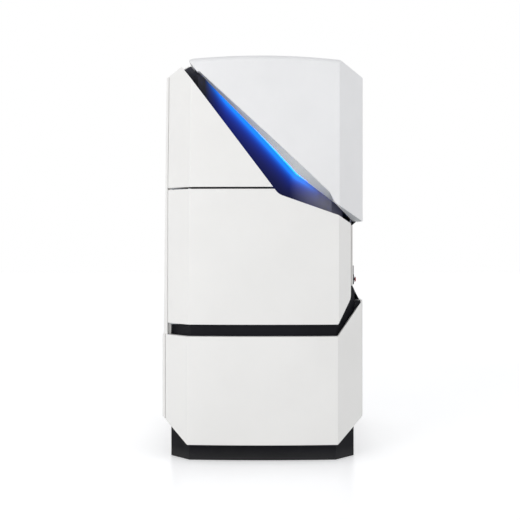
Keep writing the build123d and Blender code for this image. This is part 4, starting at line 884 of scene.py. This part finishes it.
@dataclass
class Covers(SubAssembly):
    """The white shells of the cabinet, the hood and its silver bevelled return.

    Trim, the white strip and lip are in millimetres, places in metres. The white strip left around the silver
    trim is a painted highlight of the hood's rounded edges.
    """

    trim: float = 0.8
    # width of the white strip left around the silver trim: a painted highlight of the rounded edges
    painted_highlight: float = 3.6
    bevel_turn: tuple[float, float] = (-0.12, -0.2)
    lip: float = 3.0
    seam_front: float = -0.555
    sill_screws: float = 0.238
    head_screws: float = 0.12
    screw_columns: tuple[float, ...] = (-0.50, -0.25, 0.0, 0.25, 0.50)
    finishes: dict[str, tuple[object, Edge]] = field(default_factory=lambda: {
        "hood": (HOOD_COOL_SHADE_WHITE, Edge.COVER), "upper_left_cover": (WHITE, Edge.COVER),
        "service_door": (WHITE, Edge.COVER), "lower_front_cover": (WHITE, Edge.COVER),
        "left_side_panel": (WHITE, Edge.COVER), "right_lower_side_panel": (WHITE, Edge.COVER),
        "right_upper_side_panel": (WHITE, Edge.COVER), "roof_cover": (WHITE, Edge.COVER),
        "roof_vent_grille": (GRILLE, Edge.FINE), "rear_door_left": (WHITE, Edge.COVER),
        "rear_door_right": (WHITE, Edge.COVER), "rear_fixed_panels": (WHITE, Edge.COVER),
        "plinth_skirt": (PLINTH, Edge.SHEET),
    })

    def build(self) -> None:
        """Dress the covers, lay the silver trim on the hood's bevel and narrow the left seam."""
        self.dress()
        self.lay_trim()
        self.lip_left_seam()
        self.fasten_rear()

    def lay_trim(self) -> None:
        """Cut the bevelled faces out of a copy of the hood, stop them short of its edges, and thicken; the
        white strip left at the edges is a painted highlight of the hood's rounded edges.
        """
        trim = copy_of("hood", "hood_bevel_trim")
        front, down = self.bevel_turn
        edit_faces(trim, lambda face: not (face.normal.y < front and face.normal.z < down))
        bpy.ops.mesh.delete(type="FACE")
        bpy.ops.mesh.select_all(action="SELECT")
        # The white margin that this inset leaves is a painted highlight along the hood's rounded edges.
        bpy.ops.mesh.inset(thickness=self.painted_highlight * MM, use_boundary=True)
        bpy.ops.mesh.select_all(action="INVERT")
        bpy.ops.mesh.delete(type="FACE")
        leave_edit()
        shell = trim.modifiers.new("foil", "SOLIDIFY")
        shell.thickness = self.trim * MM
        shell.offset = 1.0
        activate(trim)
        bpy.ops.object.modifier_apply(modifier=shell.name)
        soften(trim, 0.0)
        paint(trim, SILVER)
        self.attach(trim, "cabinet", "machined_aluminium")

    def lip_left_seam(self) -> None:
        """White sealing lip along the left panel's front edge, which leaves a fine seam at the covers."""
        lip = copy_of("left_side_panel", "left_seam_lip")
        edit_faces(lip, lambda face: not (face.normal.x > SQUARE_ON and face.center.y < self.seam_front))
        bpy.ops.mesh.delete(type="FACE")
        leave_edit()
        rim = lip.modifiers.new("lip", "SOLIDIFY")
        rim.thickness = self.lip * MM
        rim.offset = 1.0
        activate(lip)
        bpy.ops.object.modifier_apply(modifier=rim.name)
        soften(lip, LIP_EDGE)
        paint(lip, WHITE)
        self.attach(lip, "cabinet", self.slot_of("left_side_panel"))

    def fasten_rear(self) -> None:
        """Screws along the fixed rear panels."""
        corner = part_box("rear_fixed_panels")[1]
        rows = (self.sill_screws, corner.z - self.head_screws)
        points = [Vector((x, corner.y, z)) for z in rows for x in self.screw_columns]
        screws = Screws().set_on("rear_panel_screws", points, TO_REAR)
        self.attach(screws, "cabinet", "brushed_steel")


@dataclass
class Recess(SubAssembly):
    """The dark gaps and the diagonal channel with its hidden light."""

    turned_back: float = 0.05
    finishes: dict[str, tuple[object, Edge]] = field(default_factory=lambda: {
        "gap_liners": (BLACK, Edge.AS_CUT), "light_bar": (ALUMINIUM, Edge.AS_CUT),
        "light_diffuser": (OPAL, Edge.FINE),
    })

    def build(self) -> None:
        """Dress the liners; only the channel's outer side carries the painted glow and painted reflections,
        its back takes plain near-black enamel.
        """
        self.dress()
        channel = copy_of("recess_channel", "recess_channel_finished")
        soften(channel, 0.0)
        paint(channel, RECESS)
        channel.data.materials.append(made(BLACK))
        for face in channel.data.polygons:
            face.material_index = int(face.normal.y > self.turned_back)
        self.attach(channel, self.body_of("recess_channel"), self.slot_of("recess_channel"), "recess_channel")


@dataclass
class Niche(SubAssembly):
    """The niche in the right side with the emergency stop and the load lock door; measures in metres."""

    lock_face: float = 0.546
    lock_edge: float = -0.254
    lock_screws: tuple[float, float] = (1.058, 1.202)
    mid_height: float = 1.1
    sill_run: tuple[float, float, float] = (0.0215, 0.0, -0.0418)
    crest: tuple[tuple[float, float, float], tuple[float, float, float]] = (
        (0.562, -0.5768, 0.868), (0.594, -0.5750, 0.9447))
    plate_front: tuple[float, float] = (0.005, 0.007)
    plate_gain: float = 0.0036
    wall_front: float = -0.5
    turned_front: float = -0.5
    lip_shift: tuple[float, float, float] = (-0.0055, 0.0008, 0.0)
    lip_depth: float = 0.018
    finishes: dict[str, tuple[object, Edge]] = field(default_factory=lambda: {
        "niche_wall": (WHITE, Edge.SHEET),
        "stop_plunger": (BLACK_ABS, Edge.AS_CUT),
        "stop_cap": (RED_ABS, Edge.FINE), "load_lock": (ALUMINIUM, Edge.FINE),
        "load_lock_door": (ALUMINIUM, Edge.SHEET), "load_lock_latch": (BLACK_ABS, Edge.FINE),
        "gate_valve_body": (ALUMINIUM, Edge.SHEET), "gate_blade": (STAINLESS, Edge.AS_CUT),
    })

    def build(self) -> None:
        """Dress the niche, carry its sill out to the crest, lip its front edge and set the screws."""
        self.dress()
        self.carry_sill_out()
        self.thicken_stop_plate()
        self.lip_front_edge()
        points = [Vector((self.lock_face, self.lock_edge, z)) for z in self.lock_screws]
        screws = Screws(head=4.5, high=1.8, socket=2.4).set_on("lock_flange_screws", points, TO_RIGHT)
        self.attach(screws, "cabinet", "brushed_steel")

    def carry_sill_out(self) -> None:
        """Run the dark sill down onto the side panel's top, and close the crest's front in black."""
        slopes = copy_of("niche_slopes", "niche_slopes_finished")
        edit_faces(slopes, lambda face: face.normal.x > SQUARE_ON and face.center.z < self.mid_height)
        bpy.ops.mesh.extrude_region_move(TRANSFORM_OT_translate={"value": self.sill_run})
        leave_edit()
        soften(slopes, Edge.FINE.value)
        paint(slopes, BLACK)
        self.attach(slopes, self.body_of("niche_slopes"), self.slot_of("niche_slopes"), "niche_slopes")
        crest = box("crest_liner", *(Vector(corner) for corner in self.crest))
        soften(crest, LIP_EDGE)
        paint(crest, BLACK)
        self.attach(crest, "cabinet", self.slot_of("niche_slopes"))

    def thicken_stop_plate(self) -> None:
        """Bring the stop's dark plate up to its collar, so that it shows past the wall's front edge."""
        plate = copy_of("stop_housing", "stop_housing_finished")
        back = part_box("stop_housing")[0].x
        near, far = self.plate_front
        edit_faces(plate, lambda face: face.normal.x > SQUARE_ON and near < face.center.x - back < far)
        bpy.ops.transform.translate(value=(self.plate_gain, 0.0, 0.0))
        leave_edit()
        soften(plate, Edge.FINE.value)
        paint(plate, BLACK_ABS)
        self.attach(plate, self.body_of("stop_housing"), self.slot_of("stop_housing"), "stop_housing")

    def lip_front_edge(self) -> None:
        """White sealing lip that carries the wall's front edge closer to the service door."""
        lip = copy_of("niche_wall", "niche_seam_lip")
        turned, front = self.turned_front, self.wall_front
        edit_faces(lip, lambda face: not (face.normal.y < turned and face.center.y < front))
        bpy.ops.mesh.delete(type="FACE")
        bpy.ops.mesh.select_all(action="SELECT")
        bpy.ops.transform.translate(value=self.lip_shift)
        bpy.ops.mesh.extrude_region_move(TRANSFORM_OT_translate={"value": (0.0, self.lip_depth, 0.0)})
        leave_edit()
        soften(lip, LIP_EDGE)
        paint(lip, WHITE)
        self.attach(lip, "cabinet", self.slot_of("niche_wall"))


@dataclass
class Rear(SubAssembly):
    """Fittings of the rear: latch, gland, exhaust and inlet."""

    finishes: dict[str, tuple[object, Edge]] = field(default_factory=lambda: {
        "rear_latch_handle": (BLACK_ABS, Edge.FINE), "cable_gland": (BLACK_ABS, Edge.FINE),
        "exhaust_port": (STAINLESS, Edge.FINE), "power_inlet": (BLACK_ABS, Edge.FINE),
        "door_hinges": (ZINC, Edge.AS_CUT),
    })


@dataclass
class Carcase(SubAssembly):
    """Welded frame, feet, brackets, rack and the lower bay."""

    finishes: dict[str, tuple[object, Edge]] = field(default_factory=lambda: {
        "frame": (FRAME_GREY, Edge.SHEET), "base_tray": (FRAME_GREY, Edge.SHEET),
        "cover_brackets": (ZINC, Edge.FINE), "levelling_feet": (ZINC, Edge.FINE),
        "rack_rails": (ZINC, Edge.FINE), "rack_units": (UNIT_GREY, Edge.FINE),
        "lower_bay_units": (UNIT_GREY, Edge.FINE), "fan_frames": (BLACK_ABS, Edge.FINE),
        "fan_rotor_left": (BLACK_ABS, Edge.AS_CUT), "fan_rotor_right": (BLACK_ABS, Edge.AS_CUT),
        "air_springs": (RUBBER, Edge.FINE),
    })


@dataclass
class BeamLine(SubAssembly):
    """Table, chamber, stage, column and pumps."""

    finishes: dict[str, tuple[object, Edge]] = field(default_factory=lambda: {
        "table_plate": (ALUMINIUM, Edge.SHEET), "vacuum_chamber": (ALUMINIUM, Edge.SHEET),
        "front_flange": (STAINLESS, Edge.FINE), "viewport_glass": (GLASS, Edge.AS_CUT),
        "stage_base": (STAINLESS, Edge.FINE), "stage_x_carriage": (ALUMINIUM, Edge.FINE),
        "stage_y_carriage": (ALUMINIUM, Edge.FINE), "turntable": (STAINLESS, Edge.FINE),
        "objective_lens": (STAINLESS, Edge.SHEET), "beam_splitter": (STAINLESS, Edge.SHEET),
        "illumination_column": (STAINLESS, Edge.FINE), "electron_source": (STAINLESS, Edge.SHEET),
        "projection_column": (STAINLESS, Edge.FINE), "multi_detector": (ALUMINIUM, Edge.SHEET),
        "ion_pumps": (ZINC, Edge.SHEET), "turbo_pump": (STAINLESS, Edge.SHEET),
        "backing_line": (HOSE, Edge.AS_CUT),
    })


@dataclass
class Softbox:
    """A square lamp: its place and side in metres, its power in watts."""

    name: str
    place: tuple[float, float, float]
    size: float
    power: float

    def hang(self, target: Vector) -> None:
        """Hang the lamp.

        Args:
            target: the point it looks at.
        """
        lamp = bpy.data.lights.new(self.name, "AREA")
        lamp.size = self.size
        lamp.energy = self.power
        holder = bpy.data.objects.new(self.name, lamp)
        holder.location = self.place
        holder.rotation_euler = (target - holder.location).to_track_quat("-Z", "Y").to_euler()
        bpy.context.scene.collection.objects.link(holder)


@dataclass
class Studio:
    """Pale floor, white surroundings, soft lamps and the photograph's camera."""

    horizon: float = 1.08
    zenith: float = 0.34
    zenith_tint: tuple[float, float, float, float] = (0.92, 0.94, 1.0, 1.0)
    floor_size: float = 60.0
    floor_shades: tuple[str, str] = ("f6f6f6", "f9f9f9")
    floor_cloud: float = 900.0
    floor_lift: float = 0.34
    lamps: tuple[Softbox, ...] = (Softbox("key_softbox", (-3.8, -5.5, 2.6), 3.2, 104.0),
                                  Softbox("side_softbox", (4.6, -4.0, 3.0), 2.6, 27.0))
    target: tuple[float, float, float] = (0.0, 0.0, 1.2)
    eye: tuple[float, float, float] = (0.0, -6.222, 1.309)
    lens: float = 64.4
    sensor: float = 36.0
    shift: tuple[float, float] = (-0.0048, -0.0385)

    def build(self) -> None:
        """Make the floor, world, lamps and camera."""
        self.lay_floor()
        self.light_world()
        for lamp in self.lamps:
            lamp.hang(Vector(self.target))
        self.set_camera()

    def lay_floor(self) -> None:
        """A pale polished floor that keeps the shadow and the foot's mirror image, and is seen white."""
        deselect()
        bpy.ops.mesh.primitive_plane_add(size=self.floor_size, location=(0, 0, 0))
        floor = bpy.context.active_object
        floor.name = "studio_floor"
        material, tree, where = blank("pale_polished_floor")
        tone = clouded(tree, where, *self.floor_shades, self.floor_cloud)
        lift = add(tree, "ShaderNodeMath", {"operation": "MULTIPLY"}, i0=self.seen(tree), i1=self.floor_lift)
        close(tree, add(tree, "ShaderNodeBsdfPrincipled", Base_Color=tone, Roughness=0.3, IOR=1.5,
                        Specular_IOR_Level=0.2, Emission_Color=WHITE_LIGHT,
                        Emission_Strength=lift.outputs[0]))
        floor.data.materials.append(material)

    def seen(self, tree: bpy.types.NodeTree) -> bpy.types.NodeSocket:
        """One where a place is looked at, mirrored or seen through glass, and zero where it only lights.

        Args:
            tree: the floor's or the world's tree.
        Returns:
            The share's output.
        """
        path = add(tree, "ShaderNodeLightPath")
        either = add(tree, "ShaderNodeMath", {"operation": "MAXIMUM"}, i0=path.outputs["Is Camera Ray"],
                     i1=path.outputs["Is Glossy Ray"])
        return add(tree, "ShaderNodeMath", {"operation": "MAXIMUM"}, i0=either.outputs[0],
                   i1=path.outputs["Is Transmission Ray"]).outputs[0]

    def light_world(self) -> None:
        """White surroundings: white where they are seen or mirrored; as light, brightest at the horizon."""
        world = bpy.data.worlds.new("white_surroundings")
        bpy.context.scene.world = world
        world.use_nodes = True
        tree = world.node_tree
        tree.nodes.clear()
        where = add(tree, "ShaderNodeTexCoord").outputs["Generated"]
        height = add(tree, "ShaderNodeSeparateXYZ", Vector=where).outputs["Z"]
        light = add(tree, "ShaderNodeMapRange", Value=height, i1=0.0, i2=1.0, i3=self.horizon, i4=self.zenith)
        tint = add(tree, "ShaderNodeMix", {"data_type": "RGBA"}, Factor=height, i6=WHITE_LIGHT,
                   i7=self.zenith_tint)
        seen = self.seen(tree)
        colour = add(tree, "ShaderNodeMix", {"data_type": "RGBA"}, Factor=seen, i6=tint.outputs[2],
                     i7=WHITE_LIGHT)
        strength = add(tree, "ShaderNodeMix", i0=seen, i2=light.outputs[0], i3=1.0)
        ground = add(tree, "ShaderNodeBackground", Color=colour.outputs[2], Strength=strength.outputs[0])
        add(tree, "ShaderNodeOutputWorld", Surface=ground.outputs[0])

    def set_camera(self) -> None:
        """A level camera square to the front, as the photograph was taken."""
        data = bpy.data.cameras.new("front_camera")
        data.lens = self.lens
        data.sensor_width = self.sensor
        data.shift_x, data.shift_y = self.shift
        camera = bpy.data.objects.new("front_camera", data)
        camera.location = self.eye
        camera.rotation_euler = (math.pi / 2, 0.0, 0.0)
        bpy.context.scene.collection.objects.link(camera)
        bpy.context.scene.camera = camera


def main() -> None:
    """Build every sub-assembly in order, then the studio."""
    FRAME.update(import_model())
    bpy.context.scene.view_settings.view_transform = "Standard"
    for part in (Covers(), Recess(), Niche(), Rear(), Carcase(), BeamLine()):
        LOG.info("building %s", type(part).__name__)
        part.build()
    Studio().build()
    deselect()


if __name__ == "__main__":
    main()
